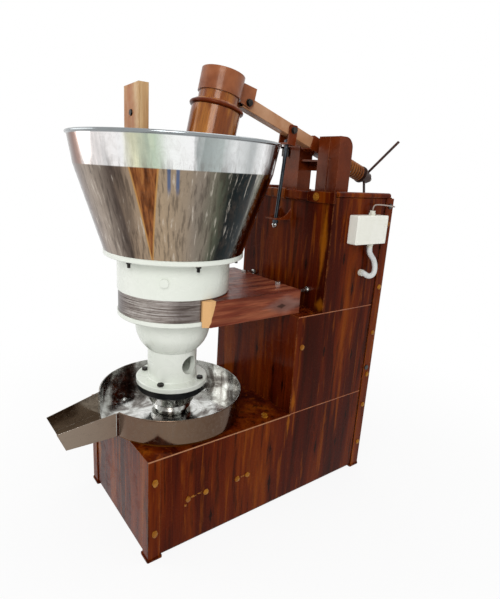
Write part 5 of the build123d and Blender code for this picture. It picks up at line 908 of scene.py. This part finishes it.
weld_z = TOWER_TOP + 0.001
ear_runs = [((side * EAR_NEAR_X, along, weld_z), (side * EAR_FAR_X, along, weld_z))
            for side in (1, -1) for along in EAR_FACES_Y]
bracket_runs = [((side * BRACKET_SIDE, BRACKET_FACE_Y, BRACKET_WELD_FOOT),
                 (side * BRACKET_SIDE, BRACKET_FACE_Y, BRACKET_WELD_TOP)) for side in (1, -1)]
bracket_runs += [((-BRACKET_SIDE, BRACKET_FACE_Y, BRACKET_UNDER),
                  (BRACKET_SIDE, BRACKET_FACE_Y, BRACKET_UNDER))]
spout_runs = [((side * SPOUT_HALF + SPOUT_OFFSET, SPOUT_ROOT_Y, SPOUT_WELD_FOOT),
               (side * SPOUT_HALF + SPOUT_OFFSET, SPOUT_ROOT_Y, SPOUT_WELD_TOP)) for side in (1, -1)]
weld_bead("ear_welds", ear_runs, 0.0032, "frame")
weld_bead("bracket_welds", bracket_runs, 0.0026, "frame")
weld_bead("spout_welds", spout_runs, 0.0016, "frame", "zinc")

# Camera, from the photograph's own lines

CAMERA_AT = Vector((1.6445, -1.2412, 1.4833))
YAW, PITCH, ROLL = 0.9253, -0.2670, -0.0604
FOCUS, MIDDLE_X, MIDDLE_Y, LONG_SIDE, WIDE = 461.84, 241.855, 297.749, 599.0, 500.0

lens = bpy.data.cameras.new("camera")
camera = bpy.data.objects.new("camera", lens)
bpy.context.scene.collection.objects.link(camera)
look = Matrix.Rotation(YAW, 3, "Z") @ Matrix.Rotation(PITCH, 3, "X") @ Matrix.Rotation(ROLL, 3, "Y")
columns = (look.col[0], look.col[2], -look.col[1])
camera.matrix_world = Matrix.LocRotScale(CAMERA_AT, Matrix(columns).transposed().to_quaternion(), None)
lens.sensor_width = 36.0
lens.lens = FOCUS / LONG_SIDE * 36.0
lens.shift_x = (WIDE / 2 - MIDDLE_X) / LONG_SIDE
lens.shift_y = (MIDDLE_Y - LONG_SIDE / 2) / LONG_SIDE
lens.clip_start = 0.05
bpy.context.scene.camera = camera


# Floor, daylight and lamps

def lit_for_camera(tree):
    """1 for rays that see the backdrop: straight, in metal or through glass."""
    path = put(tree, "LightPath").outputs
    seen = maths(tree, "ADD", path["Is Camera Ray"], path["Is Glossy Ray"], clamp=True)
    return maths(tree, "ADD", seen, path["Is Transmission Ray"], clamp=True)


def pale_floor():
    bm = bmesh.new()
    bmesh.ops.create_grid(bm, x_segments=8, y_segments=8, size=7.0)
    mesh = bpy.data.meshes.new("floor")
    bm.to_mesh(mesh)
    bm.free()
    floor = bpy.data.objects.new("floor", mesh)
    bpy.context.scene.collection.objects.link(floor)
    paint = bpy.data.materials.new("floor_white")
    paint.use_nodes = True
    tree = paint.node_tree
    shader = tree.nodes["Principled BSDF"]
    shader.inputs["Base Color"].default_value = (0.9, 0.9, 0.9, 1.0)
    shader.inputs["Roughness"].default_value = 0.9
    glow = put(tree, "Emission", Color=(1.0, 1.0, 1.0, 1.0), Strength=1.0)
    place = put(tree, "TexCoord").outputs["Object"]
    away = vectors(tree, "LENGTH", place)
    share = maths(tree, "MULTIPLY", lit_for_camera(tree), span(tree, away, 0.8, 2.4, 0.88, 1.0))
    both = put(tree, "MixShader")
    feed(tree, both.inputs[0], share)
    feed(tree, both.inputs[1], shader.outputs[0])
    feed(tree, both.inputs[2], glow.outputs[0])
    feed(tree, tree.nodes["Material Output"].inputs["Surface"], both.outputs[0])
    mesh.materials.append(paint)


def lamp(name, at, aim, size, power):
    light = bpy.data.lights.new(name, "AREA")
    light.shape = "DISK"
    light.size = size
    light.energy = power
    made = bpy.data.objects.new(name, light)
    bpy.context.scene.collection.objects.link(made)
    made.location = at
    made.rotation_mode = "QUATERNION"
    made.rotation_quaternion = (Vector(aim) - Vector(at)).to_track_quat("-Z", "Y")


pale_floor()
world = bpy.data.worlds.new("daylight")
world.use_nodes = True
bpy.context.scene.world = world
sky = world.node_tree
sky_light = sky.nodes["Background"]
sky_light.inputs["Color"].default_value = (1.0, 1.0, 1.0, 1.0)
feed(sky, sky_light.inputs["Strength"], span(sky, lit_for_camera(sky), 0.0, 1.0, 0.55, 1.0, False))
lamp("window", (2.6, -2.2, 3.0), (0.0, 0.0, 0.9), 1.8, 60.0)
lamp("fill", (-2.2, -2.8, 2.0), (0.0, 0.0, 0.9), 2.4, 26.0)
lamp("top", (0.0, 0.6, 3.6), (0.0, 0.0, 1.0), 2.0, 18.0)
bpy.context.scene.view_settings.view_transform = "Standard"
